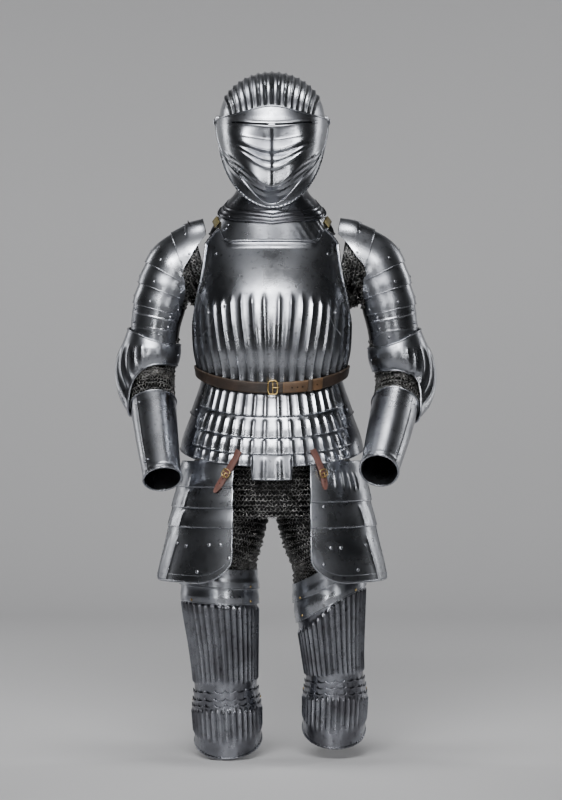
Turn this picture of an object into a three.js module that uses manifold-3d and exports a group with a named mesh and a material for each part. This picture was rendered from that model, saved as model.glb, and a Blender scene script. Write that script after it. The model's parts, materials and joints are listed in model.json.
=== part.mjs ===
// A fluted field armour of about 1520, hollow and in the shape it has when worn: close helmet, gorget,
// breastplate and backplate, fauld and culet of hooped lames, tassets on straps, mail sleeves and mail hose,
// articulated arms, and fluted cuisses with knee cops.
// Millimetres. +Z is up, the armour faces -Y, +X is its own left side. The origin is where the wearer's
// shoulders carry it, at the foot of the neck.
import * as THREE from "three";
import { mergeVertices } from "three/addons/utils/BufferGeometryUtils.js";
import Module from "manifold-3d";

const wasm = await Module();
wasm.setup();

// Driving dimensions, in millimetres and degrees
const STEEL = 1.6; // wall of a plate
const GAP = 0.4; // between two plates that lie on each other
const LAME_GAP = 1; // the same between lames, whose flats don't follow each other exactly
const LAP = 8; // how far one lame reaches under the next
const MAIL = 2.6; // wall of the mail
const LEATHER = 2.6; // thickness of a strap
const PIVOT = { y: 0, z: 206 }; // the helmet's pivots, level with the temples
const PIN_RADIUS = 3.5;
const PIN_CLEARANCE = 0.1;

// The helmet's forms are turned round the pivots' axis. Each is given by its radius from that axis, at an
// angle counted from straight ahead (0) over the crown (90) to the nape (180) and down to the jaw (300).
const SKULL = {
  halfWidth: 106,
  radius: [
    { angle: 0, r: 112 }, { angle: 35, r: 106 }, { angle: 90, r: 98 }, { angle: 135, r: 112 },
    { angle: 180, r: 126 }, { angle: 215, r: 128 }, { angle: 240, r: 134 }, { angle: 270, r: 158 },
    { angle: 300, r: 186 },
  ],
  flutes: 17,
  fluteHeight: 3.4,
  brow: -6, // where the front edge lies, under the visor
};
const VISOR = {
  halfWidth: 111.3,
  // distance ahead of the pivots and height above them, down the middle of the face
  profile: [
    { ahead: 115, up: 19 }, { ahead: 120, up: -6 }, { ahead: 122, up: -26 }, { ahead: 120, up: -48 },
    { ahead: 139, up: -70 }, { ahead: 133, up: -78 }, { ahead: 145, up: -89.5 }, { ahead: 141, up: -95 },
    { ahead: 149.5, up: -104.5 }, { ahead: 145, up: -110 }, { ahead: 146, up: -140 },
    { ahead: 127, up: -155 }, { ahead: 107, up: -172.5 },
  ],
  // the upper edge falls from the brow to the temples and the lower one rises from the chin to the jaws, by
  // angle round the pivots
  brow: 9.4, temple: 2, chin: -58.2, jaw: -47.5,
  sideRadius: 124, // radius of the smooth form that the ridges die into towards the sides
  ridgesEnd: 0.82, // share of the half width where they are gone
  sights: { height: 5, from: 6, to: 78, up: -18 },
};
const BEVOR = {
  halfWidth: 108.7,
  radius: [
    { angle: -60.5, r: 205 }, { angle: -55, r: 190 }, { angle: -50, r: 182 }, { angle: -42, r: 170 },
    { angle: -34, r: 156 },
  ],
};
const ARM_MARGIN = 13; // how far the visor and bevor reach round their pivots

// Rings of the neck and trunk, seen from above: half width, and depth ahead of and behind the origin's plane
const COLLAR = [
  { z: 105, half: 66, front: 78, back: 77.6 }, { z: 88, half: 67, front: 79, back: 76 },
  { z: 64, half: 74, front: 84, back: 80 }, { z: 46, half: 90, front: 88, back: 86 },
  { z: 30, half: 104.5, front: 93, back: 94.5 }, { z: 20, half: 113, front: 99.6, back: 99.5 },
  { z: -6, half: 125, front: 101, back: 102 },
];
const GORGET = [
  { z: 46, half: 87.4, front: 84.4, back: 80.4 }, { z: 22, half: 103.4, front: 94.4, back: 88.4 },
  { z: 0, half: 117.4, front: 96.4, back: 92.4 }, { z: -30, half: 129, front: 96.4, back: 91 },
  { z: -72, half: 132, front: 95, back: 89 },
];
const TRUNK = [
  { z: 10, half: 132, front: 76, back: 92 }, { z: -14, half: 138, front: 86, back: 100 },
  { z: -40, half: 141, front: 98, back: 108 }, { z: -90, half: 145, front: 124, back: 116 },
  { z: -140, half: 153, front: 143, back: 119 }, { z: -200, half: 157, front: 154, back: 116 },
  { z: -250, half: 155, front: 150, back: 110 }, { z: -290, half: 147, front: 136, back: 104 },
  { z: -330, half: 142, front: 130, back: 102 },
];
const HIPS = [
  { z: -270, half: 143.8, front: 127.2, back: 105 }, { z: -296, half: 143.8, front: 127.2, back: 105 },
  { z: -320, half: 148, front: 133, back: 112 }, { z: -350, half: 157, front: 141, back: 124 },
  { z: -385, half: 169, front: 147, back: 139 }, { z: -420, half: 180, front: 150, back: 152 },
  { z: -450, half: 186, front: 151, back: 160 }, { z: -480, half: 189, front: 150, back: 166 },
];
const SHOULDER_STRAP = {
  width: 15, slope: 0.9, // how steeply its width falls towards the arm, in radians
  line: [
    { x: 108, y: 46, z: 1 }, { x: 112, y: 22, z: 8 }, { x: 113.6, y: 0, z: 10.6 }, { x: 112, y: -22, z: 8 },
    { x: 108, y: -46, z: -3 },
  ],
};
const WAIST_DIP = 36; // how much lower the hoops are in front than at the sides
const DIP_SPREAD = 1.3; // exponent that draws the dip together
const SQUARENESS = 2.25; // exponent of the trunk's rings: 2 is an ellipse
const BREAST = { flutes: 18, fluteHeight: 3.2, fluteTop: -146, sideEdge: 88, foot: -292 };
// the breastplate's upper edge, from the middle of the neck to the side seam
const BREAST_TOP = [
  { across: 0, z: -40 }, { across: 34, z: -40 }, { across: 40, z: -32 }, { across: 47, z: -12 },
  { across: 66, z: -40 }, { across: 70, z: -120 }, { across: 77, z: -176 }, { across: 88, z: -208 },
];
const BACK_TOP = [
  { across: 0, z: -6 }, { across: 30, z: -8 }, { across: 44, z: 2 }, { across: 62, z: -24 },
  { across: 70, z: -134 }, { across: 78, z: -178 }, { across: 90, z: -208 },
];
const FAULD = {
  edges: [-286, -346, -387, -419, -468], // lower edges at the sides, the first being the waist
  reach: [62, 60, 57, 53], // half angle that each lame covers
  flutes: 14,
  fluteHeight: 2.6,
  flapReach: 9, // half angle of the tongue in the middle of the lowest lame
  sideRise: 26, // how much shorter that lame is beside its tongue
};
const CULET = { edges: [-284, -372, -446], from: 51, inset: 4.9 };
const BELT = { width: 21, z: -290, proud: 4.8, tipFrom: 7, tipTo: 38 };
const BUCKLE = { width: 22, height: 30, bar: 4, depth: 3, stand: 1.7, x: 2 };

// Limbs are rings strung on a bent line: how far out from the middle, y, z, half width and half depth
const ARMS = {
  right: {
    side: -1,
    path: [
      { out: 118, y: 0, z: -66, half: 82, depth: 60 }, { out: 150, y: 0, z: -74, half: 78, depth: 60 },
      { out: 190, y: 2, z: -90, half: 63, depth: 58 }, { out: 216, y: 4, z: -142, half: 56, depth: 56 },
      { out: 230, y: 8, z: -194, half: 52, depth: 53 }, { out: 234, y: 12, z: -246, half: 49, depth: 51 },
      { out: 240, y: 10, z: -304, half: 47, depth: 50 }, { out: 237, y: -16, z: -352, half: 46, depth: 48 },
      { out: 226, y: -70, z: -428, half: 42, depth: 44 }, { out: 213, y: -126, z: -504, half: 37, depth: 39 },
    ],
  },
  left: {
    side: 1,
    path: [
      { out: 122, y: 0, z: -66, half: 82, depth: 60 }, { out: 156, y: 0, z: -72, half: 79, depth: 60 },
      { out: 200, y: 2, z: -86, half: 64, depth: 58 }, { out: 225, y: 4, z: -142, half: 57, depth: 56 },
      { out: 238, y: 8, z: -196, half: 53, depth: 54 }, { out: 244, y: 14, z: -250, half: 50, depth: 52 },
      { out: 254, y: 16, z: -312, half: 48, depth: 50 }, { out: 246, y: -22, z: -356, half: 47, depth: 49 },
      { out: 228, y: -100, z: -420, half: 43, depth: 45 }, { out: 207, y: -180, z: -486, half: 37, depth: 39 },
    ],
  },
};
// where each plate of an arm lies along that line, and which part of the way round it covers:
// 0 is the front, 90 the outside, 180 the back
const PAULDRON = [
  { from: 0.06, to: 1.62 }, { from: 1.5, to: 2.3 }, { from: 2.2, to: 2.86 }, { from: 2.76, to: 3.5 },
];
const UPPER_CANNON = { from: 3.4, to: 4.75 };
const WRAP = { start: -54, end: 234, columns: 12 }; // the arc of the arm that these plates share
const CAP = { start: 38, end: 130, from: -0.4, full: 3.6 }; // the narrower arc by the neck, and how it opens
const FOREARM = { from: 7.06, to: 9 };
const PAULDRON_LAP = 0.13;
// how deep the mail lies below the plates, at the shoulder and further down, and how it hangs at the armpit
const MAIL_SLEEVE = { from: { right: 0.78, left: 0.6 }, flare: 2.7, inside: 3.5, shoulder: 10, sag: 26 };
const COUTER = {
  start: -78, end: 204, thickness: 2.2,
  // how far along the arm's line its upper and lower edges lie, and how far it stands out
  edges: [
    { round: -78, top: 4.82, foot: 5.5, out: 3 }, { round: -30, top: 4.78, foot: 5.5, out: 4 },
    { round: 10, top: 4.62, foot: 5.72, out: 8 }, { round: 45, top: 4.4, foot: 6.62, out: 14 },
    { round: 80, top: 4.34, foot: 7.2, out: 22 }, { round: 125, top: 4.34, foot: 7.1, out: 26 },
    { round: 165, top: 4.5, foot: 6.5, out: 16 }, { round: 204, top: 4.7, foot: 6.1, out: 6 },
  ],
};

const LEGS = {
  right: {
    side: -1,
    path: [
      { out: 108, y: 0, z: -640, half: 79, depth: 84 }, { out: 105, y: 0, z: -716, half: 77, depth: 82 },
      { out: 103, y: 0, z: -760, half: 75, depth: 79 }, { out: 96, y: 0, z: -850, half: 67, depth: 72 },
      { out: 91, y: 0, z: -950, half: 61, depth: 68 }, { out: 86, y: -4, z: -1060, half: 57, depth: 64 },
    ],
    slope: 0.1, // how steeply the thigh lames' edges fall towards the inside
    thigh: [-684, -720, -752],
    cuisseFoot: -946, lameFeet: [-962, -974], foot: -1058,
  },
  left: {
    side: 1,
    path: [
      { out: 110, y: 0, z: -640, half: 76, depth: 82 }, { out: 113, y: 0, z: -716, half: 73, depth: 79 },
      { out: 115, y: 0, z: -760, half: 70, depth: 76 }, { out: 121, y: 0, z: -850, half: 61, depth: 70 },
      { out: 126, y: 0, z: -930, half: 56, depth: 66 }, { out: 122, y: -4, z: -1040, half: 53, depth: 62 },
    ],
    slope: 0.48,
    thigh: [-680, -716, -754],
    cuisseFoot: -922, lameFeet: [-936, -950], foot: -1038,
  },
};
const LEG_PLATE = { start: -112, end: 112, flutes: 12, fluteHeight: 3, tuck: 1.4 };
const THIGH_LAP = 0.2; // lap of the thigh lames, along the leg's line
const KNEE = {
  lap: 0.16, sideGap: 0.95, first: 0.5, frontGap: 1, scallop: 0.07,
  clear: 0.1, fade: 0.05, // where the flutes above end, so that the lames can turn
  rise: 0.3, // how much shorter the knee cop is at its sides
};
const TASSETS = {
  right: { side: -1, start: 21.2, end: 74, edges: [-478, -520, -560, -598, -704] },
  left: { side: 1, start: 21.2, end: 76, edges: [-478, -548, -598, -704] },
  top: -470,
  hoop: -437, // where their upper edge lies under the fauld, as the height of a hoop at its sides
  ring: -440, // the hoop that they follow
  tilt: 0.19, // how far the foot swings out for each millimetre down
  widening: 0.0009, // how much wider it grows for each millimetre down
  // its lower corners are rounded: how high the rounding goes, and its share of the width
  inner: { rise: 58, width: 0.32 }, outer: { rise: 18, width: 0.14 },
};
const TASSET_STRAP = {
  width: 14, buckle: { length: 17, breadth: 19, edge: 3, depth: 2.4, stand: 0.9 },
  right: [
    { u: 17, z: -448, proud: 5.4 }, { u: 19.5, z: -466, proud: 6.2 }, { u: 24, z: -492, proud: 4.4 },
    { u: 31, z: -530, proud: 3.6 },
  ],
  left: [
    { u: 22, z: -446, proud: 5.2 }, { u: 25, z: -466, proud: 6 }, { u: 28, z: -492, proud: 4 },
    { u: 29, z: -524, proud: 3.2 },
  ],
};
// the collar's upper and lower edges, by the angle from the front
const COLLAR_TOP = [
  { round: 0, z: 50 }, { round: 50, z: 62 }, { round: 90, z: 82 }, { round: 150, z: 90 },
  { round: 180, z: 105 },
];
const COLLAR_FOOT = [
  { round: 0, z: -3 }, { round: 60, z: 12 }, { round: 90, z: 34 }, { round: 180, z: 14 },
];
const MAIL_HOSE = {
  hips: [
    { z: -330, half: 143.8, front: 124.8, back: 108 }, { z: -400, half: 152, front: 126, back: 126 },
    { z: -448, half: 152, front: 124, back: 134 }, { z: -500, half: 158, front: 118, back: 138 },
    { z: -560, half: 162, front: 106, back: 128 }, { z: -580, half: 160, front: 100, back: 124 },
  ],
  legs: {
    right: [
      { out: 82, y: 4, z: -556, half: 79, depth: 98 }, { out: 90, y: 4, z: -620, half: 72, depth: 86 },
      { out: 107, y: 0, z: -668, half: 75.4, depth: 80.4 }, { out: 105, y: 0, z: -714, half: 74, depth: 79 },
    ],
    left: [
      { out: 82, y: 4, z: -556, half: 79, depth: 98 }, { out: 90, y: 4, z: -620, half: 70, depth: 84 },
      { out: 111, y: 0, z: -668, half: 70.6, depth: 76.6 },
      { out: 113, y: 0, z: -712, half: 69.2, depth: 75.2 },
    ],
  },
};

const MATERIALS = {
  steel: new THREE.MeshStandardMaterial({ color: 0x8f9299, roughness: 0.3, metalness: 1 }),
  darkSteel: new THREE.MeshStandardMaterial({ color: 0x4a4d55, roughness: 0.34, metalness: 1 }),
  mail: new THREE.MeshStandardMaterial({ color: 0x3a3835, roughness: 0.55, metalness: 0.9 }),
  leather: new THREE.MeshStandardMaterial({ color: 0x5a3325, roughness: 0.62, metalness: 0 }),
  brass: new THREE.MeshStandardMaterial({ color: 0xa58a4a, roughness: 0.4, metalness: 1 }),
};

const group = new THREE.Group();
const radians = THREE.MathUtils.degToRad;
const lerp = THREE.MathUtils.lerp;
const clamp = THREE.MathUtils.clamp;
const smooth = (value, from, to) => THREE.MathUtils.smoothstep(value, from, to);
const steps = (from, to, count) => Array.from({ length: count + 1 }, (_, i) => lerp(from, to, i / count));

// A column of a table as a smooth function of another column. Beyond the table it keeps its end value.
function column(table, name, by) {
  const rows = [...table].sort((a, b) => a[by] - b[by]);
  const slope = (i) => {
    const a = rows[Math.max(0, i - 1)];
    const b = rows[Math.min(rows.length - 1, i + 1)];
    return (b[name] - a[name]) / (b[by] - a[by]);
  };
  return (at) => {
    const x = clamp(at, rows[0][by], rows.at(-1)[by]);
    const i = clamp(rows.findIndex((row) => row[by] >= x) - 1, 0, rows.length - 2);
    const [a, b] = [rows[i], rows[i + 1]];
    const width = b[by] - a[by];
    const t = (x - a[by]) / width;
    const bend = (1 - t) * t * width;
    return lerp(a[name], b[name], t * t * (3 - 2 * t)) + bend * ((1 - t) * slope(i) - t * slope(i + 1));
  };
}

// A column read in straight stretches, for edges with corners
function corners(table, name, by) {
  return (at) => {
    const x = clamp(at, table[0][by], table.at(-1)[by]);
    const i = clamp(table.findIndex((row) => row[by] >= x) - 1, 0, table.length - 2);
    const [a, b] = [table[i], table[i + 1]];
    return lerp(a[name], b[name], (x - a[by]) / (b[by] - a[by]));
  };
}

function add(name, geometry, material) {
  const mesh = new THREE.Mesh(geometry, material);
  mesh.name = name;
  group.add(mesh);
  return mesh;
}

function toSolid(geometry) {
  const bare = geometry.clone();
  bare.deleteAttribute("normal");
  bare.deleteAttribute("uv");
  const merged = mergeVertices(bare, 1e-3);
  return new wasm.Manifold(
    new wasm.Mesh({
      numProp: 3,
      vertProperties: merged.attributes.position.array,
      triVerts: new Uint32Array(merged.index.array),
    }),
  );
}

function toGeometry(solid) {
  const mesh = solid.getMesh();
  return new THREE.BufferGeometry()
    .setAttribute("position", new THREE.BufferAttribute(mesh.vertProperties, 3))
    .setIndex(new THREE.BufferAttribute(mesh.triVerts, 1));
}

function geometryOf(points, faces) {
  const volume = faces.reduce((sum, [a, b, c]) => {
    return sum + points[a].dot(new THREE.Vector3().crossVectors(points[b], points[c]));
  }, 0);
  const turned = volume < 0 ? faces.map(([a, b, c]) => [a, c, b]) : faces;
  return new THREE.BufferGeometry().setFromPoints(points).setIndex(turned.flat());
}

// The outward normal of a form at (u, v); away is the side that counts as out
function normalOf(form, u, v, du, dv) {
  const across = form(u + du, v).sub(form(u - du, v));
  const along = form(u, v + dv).sub(form(u, v - dv));
  return across.cross(along).normalize();
}

// A wall over part of a form. across lists the columns, rows(u) the places along each column, lift gives
// how far the outer face stands off the form, and floor how far the inner face does. Where the outside is
// fluted, the plain inside keeps only every second column (innerStep 2).
function plate(form, spec) {
  const { across, rows, lift = () => 0, floor, wall = STEEL, closed = false, innerStep = 1, turn = 1 } = spec;
  const under = floor ?? ((u, v, t) => (spec.base ?? lift)(u, v, t) - wall);
  const points = [];
  const outer = [];
  const inner = [];
  across.forEach((u, j) => {
    const places = rows(u);
    const [outerColumn, innerColumn] = [[], []];
    places.forEach((v, i) => {
      const t = i / (places.length - 1);
      const foot = form(u, v);
      const normal = normalOf(form, u, v, spec.du, spec.dv).multiplyScalar(turn);
      outerColumn.push(points.push(foot.clone().addScaledVector(normal, lift(u, v, t))) - 1);
      if (j % innerStep === 0)
        innerColumn.push(points.push(foot.clone().addScaledVector(normal, under(u, v, t))) - 1);
    });
    outer.push(outerColumn);
    if (j % innerStep === 0) inner.push(innerColumn);
  });
  const faces = [];
  const quad = (a, b, c, d) => faces.push([a, b, c], [a, c, d]);
  const last = outer[0].length - 1;
  const spans = (grid) => (closed ? grid.length : grid.length - 1);
  for (let j = 0; j < spans(outer); j++) {
    const [a, b] = [outer[j], outer[(j + 1) % outer.length]];
    for (let i = 0; i < last; i++) quad(a[i], a[i + 1], b[i + 1], b[i]);
  }
  for (let j = 0; j < spans(inner); j++) {
    const [a, b] = [inner[j], inner[(j + 1) % inner.length]];
    for (let i = 0; i < last; i++) quad(a[i], b[i], b[i + 1], a[i + 1]);
    for (const end of [0, last]) {
      const rim = steps(j * innerStep, (j + 1) * innerStep, innerStep).map((k) => outer[k % outer.length][end]);
      const strip = rim.slice(1).map((point, k) => [a[end], rim[k], point]);
      strip.push([a[end], rim.at(-1), b[end]]);
      faces.push(...(end === 0 ? strip : strip.map(([p, q, r]) => [p, r, q])));
    }
  }
  if (!closed) {
    for (const end of [0, 1]) {
      const [o, n] = end ? [outer.at(-1), inner.at(-1)] : [outer[0], inner[0]];
      for (let i = 0; i < last; i++) {
        if (end) quad(o[i], o[i + 1], n[i + 1], n[i]);
        else quad(o[i], n[i], n[i + 1], o[i + 1]);
      }
    }
  }
  return geometryOf(points, faces);
}

// Ridges of triangular section: 1 on a ridge, 0 between two. places runs from 0 to the number of flutes.
const flute = (place) => 1 - Math.abs(2 * (place - Math.floor(place)) - 1);
const fluteColumns = (from, to, count) => steps(from, to, 2 * count);

// A closed ring form from a table: u is the angle from the front towards +X, v the height
function ringForm(table, squareness = SQUARENESS) {
  const [half, front, back] = ["half", "front", "back"].map((name) => column(table, name, "z"));
  const power = (value) => Math.sign(value) * Math.abs(value) ** (2 / squareness);
  return (u, v) => {
    const [s, c] = [Math.sin(radians(u)), Math.cos(radians(u))];
    return new THREE.Vector3(half(v) * power(s), -(c > 0 ? front(v) : back(v)) * power(c), v);
  };
}

// A limb's form: u is the angle from the front round the outside, v the place along its table's line
function limbForm({ side, path }) {
  const rows = path.map((row, at) => ({ ...row, at }));
  const at = Object.fromEntries(
    ["out", "y", "z", "half", "depth"].map((name) => [name, column(rows, name, "at")]),
  );
  const centre = (v) => new THREE.Vector3(at.out(v), at.y(v), at.z(v));
  const END = 1e-2;
  return (u, v) => {
    const place = clamp(v, 0, rows.length - 1);
    const ahead = centre(Math.min(place + END, rows.length - 1));
    const along = ahead.sub(centre(Math.max(place - END, 0))).normalize();
    const front = new THREE.Vector3(0, -1, 0).addScaledVector(along, along.y).normalize();
    const outside = new THREE.Vector3().crossVectors(front, along).normalize();
    const point = centre(place)
      .addScaledVector(front, at.depth(place) * Math.cos(radians(u)))
      .addScaledVector(outside, at.half(place) * Math.sin(radians(u)))
      .addScaledVector(along, (v - place) * 50);
    point.x *= side;
    return point;
  };
}

// A lame's rows: it lies under its neighbour for one lap at the start, and over the next one at its end
const lappedRows = (from, to, lap) => [from, from + lap, to - lap, to];
const lappedLift = (t) => (t < 0.4 ? 0 : STEEL + GAP);

// HELMET

// u runs across the face from -90 to 90, v is the angle round the pivots
function helmetForm(halfWidth, radius) {
  return (u, v) => {
    const [s, c] = [Math.sin(radians(u)), Math.cos(radians(u))];
    const r = radius(v, u) * Math.abs(c) ** 0.94 * Math.sign(c);
    const angle = radians(v);
    return new THREE.Vector3(halfWidth * s, PIVOT.y - r * Math.cos(angle), PIVOT.z + r * Math.sin(angle));
  };
}

// A disc with a hole, standing across the X axis at a pivot
function pivotRing(outerRadius, x, thickness, side) {
  const profile = [
    [PIN_RADIUS + PIN_CLEARANCE, 0], [outerRadius, 0], [outerRadius, thickness],
    [PIN_RADIUS + PIN_CLEARANCE, thickness], [PIN_RADIUS + PIN_CLEARANCE, 0],
  ].map(([r, h]) => new THREE.Vector2(r, h));
  const ring = new THREE.LatheGeometry(profile, 20);
  return ring.rotateZ(-side * Math.PI / 2).translate(side * x, PIVOT.y, PIVOT.z);
}

function pivotHole() {
  const hole = new THREE.CylinderGeometry(PIN_RADIUS + PIN_CLEARANCE, PIN_RADIUS + PIN_CLEARANCE, 400, 20);
  return hole.rotateZ(Math.PI / 2).translate(0, PIVOT.y, PIVOT.z);
}

// Joins a washer-like end round each pivot to a plate that narrows towards it, and bores it for the pin
function withPivotEnds(geometry, x, thickness) {
  let solid = toSolid(geometry);
  for (const side of [-1, 1]) solid = solid.add(toSolid(pivotRing(ARM_MARGIN, x, thickness, side)));
  return solid.subtract(toSolid(pivotHole()));
}

function skull() {
  const radius = column(SKULL.radius, "r", "angle");
  const fluted = 64; // half angle across that the flutes cover
  const form = helmetForm(SKULL.halfWidth, (v) => radius(v));
  const foot = (u) => lerp(233, 302, smooth(Math.abs(u), 24, 60));
  const across = [-87.5, -80, -71, ...fluteColumns(-fluted, fluted, SKULL.flutes), 71, 80, 87.5];
  const shares = [0, 0.12, 0.34, 0.56, 0.78, 1];
  const relief = (u, v) => {
    if (Math.abs(u) >= fluted) return 0;
    const place = ((u + fluted) / (2 * fluted)) * SKULL.flutes;
    return SKULL.fluteHeight * flute(place) * smooth(v, SKULL.brow, 24) * (1 - smooth(v, 186, 214));
  };
  const geometry = plate(form, {
    across,
    rows: (u) => shares.map((share) => lerp(SKULL.brow, foot(u), share)),
    lift: relief, base: () => 0, du: 0.5, dv: 0.5, turn: 1, innerStep: 2,
  });
  return withPivotEnds(geometry, SKULL.halfWidth - STEEL - 0.6, STEEL);
}

function visor() {
  const { brow, temple, chin, jaw } = VISOR;
  const polar = VISOR.profile.map(({ ahead, up }) => ({
    angle: THREE.MathUtils.radToDeg(Math.atan2(up, ahead)), r: Math.hypot(up, ahead),
  }));
  const middle = corners([...polar].sort((a, b) => a.angle - b.angle), "r", "angle");
  const plain = (v) => lerp(VISOR.sideRadius - 6, 186, smooth(-v, -16, 46));
  const form = helmetForm(VISOR.halfWidth, (v, u) => {
    const share = Math.abs(Math.sin(radians(u))) / VISOR.ridgesEnd;
    return lerp(middle(v), plain(v), smooth(share, 0.1, 1));
  });
  const half = [5, 14, 24, 35, 47, 60, 74, 87.5];
  const across = [...half.map((u) => -u).reverse(), 0, ...half];
  const browEdge = (u) => lerp(brow, temple, smooth(Math.abs(Math.sin(radians(u))), 0, 0.8));
  const footEdge = (u) => lerp(chin, jaw, smooth(Math.abs(Math.sin(radians(u))), 0, 0.66));
  const top = polar[0].angle;
  const places = polar.map(({ angle }) => angle);
  const geometry = plate(form, {
    across,
    rows: (u) => places.map((angle) => angle * (angle > 0 ? browEdge(u) / top : footEdge(u) / chin)),
    du: 0.5, dv: 0.05, turn: 1,
  });
  let solid = withPivotEnds(geometry, VISOR.halfWidth - STEEL - 0.5, STEEL);
  const { height, from, to, up } = VISOR.sights;
  for (const side of [-1, 1]) {
    const slot = new THREE.BoxGeometry(to - from, 120, height);
    slot.translate((side * (from + to)) / 2, PIVOT.y - 110, PIVOT.z + up);
    solid = solid.subtract(toSolid(slot));
  }
  return solid;
}

function bevor() {
  const radius = column(BEVOR.radius, "r", "angle");
  const form = helmetForm(BEVOR.halfWidth, (v) => radius(v));
  const across = steps(-87.5, 87.5, 12);
  const geometry = plate(form, {
    across,
    rows: () => [-60.5, -55, -49, -42, -34],
    du: 0.5, dv: 0.5, turn: 1,
  });
  return withPivotEnds(geometry, BEVOR.halfWidth - STEEL - 0.4, STEEL);
}

// A domed screw: its head lies on the visor's end, its shank runs through visor, bevor and skull
function pivotScrew(side) {
  const head = VISOR.halfWidth + 0.4;
  const tail = SKULL.halfWidth - 6;
  const profile = [
    [0, tail], [PIN_RADIUS, tail], [PIN_RADIUS, head], [8.5, head], [6, head + 4.2], [0, head + 5.4],
  ].map(([r, x]) => new THREE.Vector2(r, x));
  return new THREE.LatheGeometry(profile, 12).rotateZ(-side * Math.PI / 2).translate(0, PIVOT.y, PIVOT.z);
}

add("helmet_skull", toGeometry(skull()), MATERIALS.steel);
add("visor", toGeometry(visor()), MATERIALS.steel);
add("bevor", toGeometry(bevor()), MATERIALS.steel);
add("visor_pivot_right", pivotScrew(-1), MATERIALS.steel);
add("visor_pivot_left", pivotScrew(1), MATERIALS.steel);

// NECK

function collar() {
  const form = ringForm(COLLAR, 2);
  const topEdge = column(COLLAR_TOP, "z", "round");
  const footEdge = column(COLLAR_FOOT, "z", "round");
  const fold = (u) => Math.abs(((u + 180) % 360) - 180);
  return plate(form, {
    across: steps(-180, 180, 22).slice(0, -1),
    rows: (u) => [1, 0.66, 0.4, 0.18, 0].map((t) => lerp(footEdge(fold(u)), topEdge(fold(u)), t)),
    closed: true, du: 1, dv: 1, turn: 1,
  });
}

function gorget(start, end) {
  const form = ringForm(GORGET, 2);
  const top = (u) => 12 + 26 * smooth(Math.abs(Math.sin(radians(u))), 0.2, 1);
  const foot = (u) => -68 + 50 * smooth(Math.abs(Math.sin(radians(u))), 0.6, 1);
  return plate(form, {
    across: steps(start, end, 12),
    rows: (u) => [0, 0.3, 0.6, 1].map((t) => lerp(top(u), foot(u), t)),
    du: 1, dv: 1, turn: 1,
  });
}

// A strap swept along a line of points, its width lying along the given direction
function strap(line, width, breadth, thickness) {
  const curve = new THREE.CatmullRomCurve3(line);
  const count = line.length;
  const points = [];
  const faces = [];
  for (let i = 0; i <= count; i++) {
    const middle = curve.getPoint(i / count);
    const across = width.clone().multiplyScalar(breadth / 2);
    const out = new THREE.Vector3().crossVectors(curve.getTangent(i / count), width).normalize();
    for (const [side, level] of [[1, 0], [1, 1], [-1, 1], [-1, 0]])
      points.push(middle.clone().addScaledVector(across, side).addScaledVector(out, level * thickness));
  }
  const quad = (p, q, r, t) => faces.push([p, q, r], [p, r, t]);
  for (let i = 0; i < count; i++)
    for (let k = 0; k < 4; k++) {
      const [p, q] = [4 * i + k, 4 * i + ((k + 1) % 4)];
      quad(p, q, q + 4, p + 4);
    }
  quad(3, 2, 1, 0);
  quad(4 * count, 4 * count + 1, 4 * count + 2, 4 * count + 3);
  return geometryOf(points, faces);
}

function shoulderStrap(side) {
  const { line, slope, width } = SHOULDER_STRAP;
  const across = new THREE.Vector3(Math.cos(slope), 0, -side * Math.sin(slope));
  return strap(line.map(({ x, y, z }) => new THREE.Vector3(side * x, y, z)), across, width, LEATHER);
}

add("neck_collar", collar(), MATERIALS.darkSteel);
add("gorget_front", gorget(-88, 88), MATERIALS.steel);
add("gorget_back", gorget(88.5, 271.5), MATERIALS.steel);
add("shoulder_strap_right", shoulderStrap(-1), MATERIALS.leather);
add("shoulder_strap_left", shoulderStrap(1), MATERIALS.leather);

// TRUNK

const dip = (u) => WAIST_DIP * Math.max(0, Math.cos(radians(u))) ** DIP_SPREAD;
const trunk = ringForm(TRUNK);
// below the waist every hoop sags in front, so v is a hoop's height at its sides
const hoops = ringForm(HIPS);
const hips = (u, v) => hoops(u, v).setZ(v - dip(u));

function breastplate() {
  const top = corners(BREAST_TOP, "z", "across");
  const { flutes, fluteHeight, fluteTop, sideEdge, foot } = BREAST;
  const fan = (u, v) => u * (1 - 0.16 * smooth(-v, -fluteTop, -foot) * (1 - Math.abs(u) / sideEdge));
  const relief = (u, v) => {
    const place = ((u + sideEdge) / (2 * sideEdge)) * flutes;
    const start = fluteTop - 34 * (Math.abs(u) / sideEdge) ** 2;
    const shape = fluteHeight * flute(place) * smooth(-v, -start, -start + 60);
    const rim = 4.5 * smooth(v, -52, -42) * (1 - smooth(Math.abs(u), 30, 38));
    return shape + rim;
  };
  const edge = (u) => foot - dip(u);
  const shares = [0, 0.05, 0.16, 0.3, 0.42, 0.53, 0.66, 0.82, 1];
  return plate((u, v) => trunk(fan(u, v), v), {
    across: fluteColumns(-sideEdge, sideEdge, flutes),
    rows: (u) => shares.map((share) => lerp(top(Math.abs(u)), edge(u), share)),
    lift: relief, base: () => 0, du: 0.5, dv: 1, turn: 1, innerStep: 2,
  });
}

function backplate() {
  const top = corners(BACK_TOP, "z", "across");
  const fromBack = (u) => Math.abs(u - 180);
  const across = [...steps(88.3, 122, 5), ...steps(133, 227, 6), ...steps(238, 271.7, 5)];
  const shares = [0, 0.25, 0.6, 1];
  return plate(trunk, {
    across,
    rows: (u) => shares.map((share) => lerp(top(fromBack(u)), BREAST.foot, share)),
    du: 1, dv: 1, turn: 1,
  });
}

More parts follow.
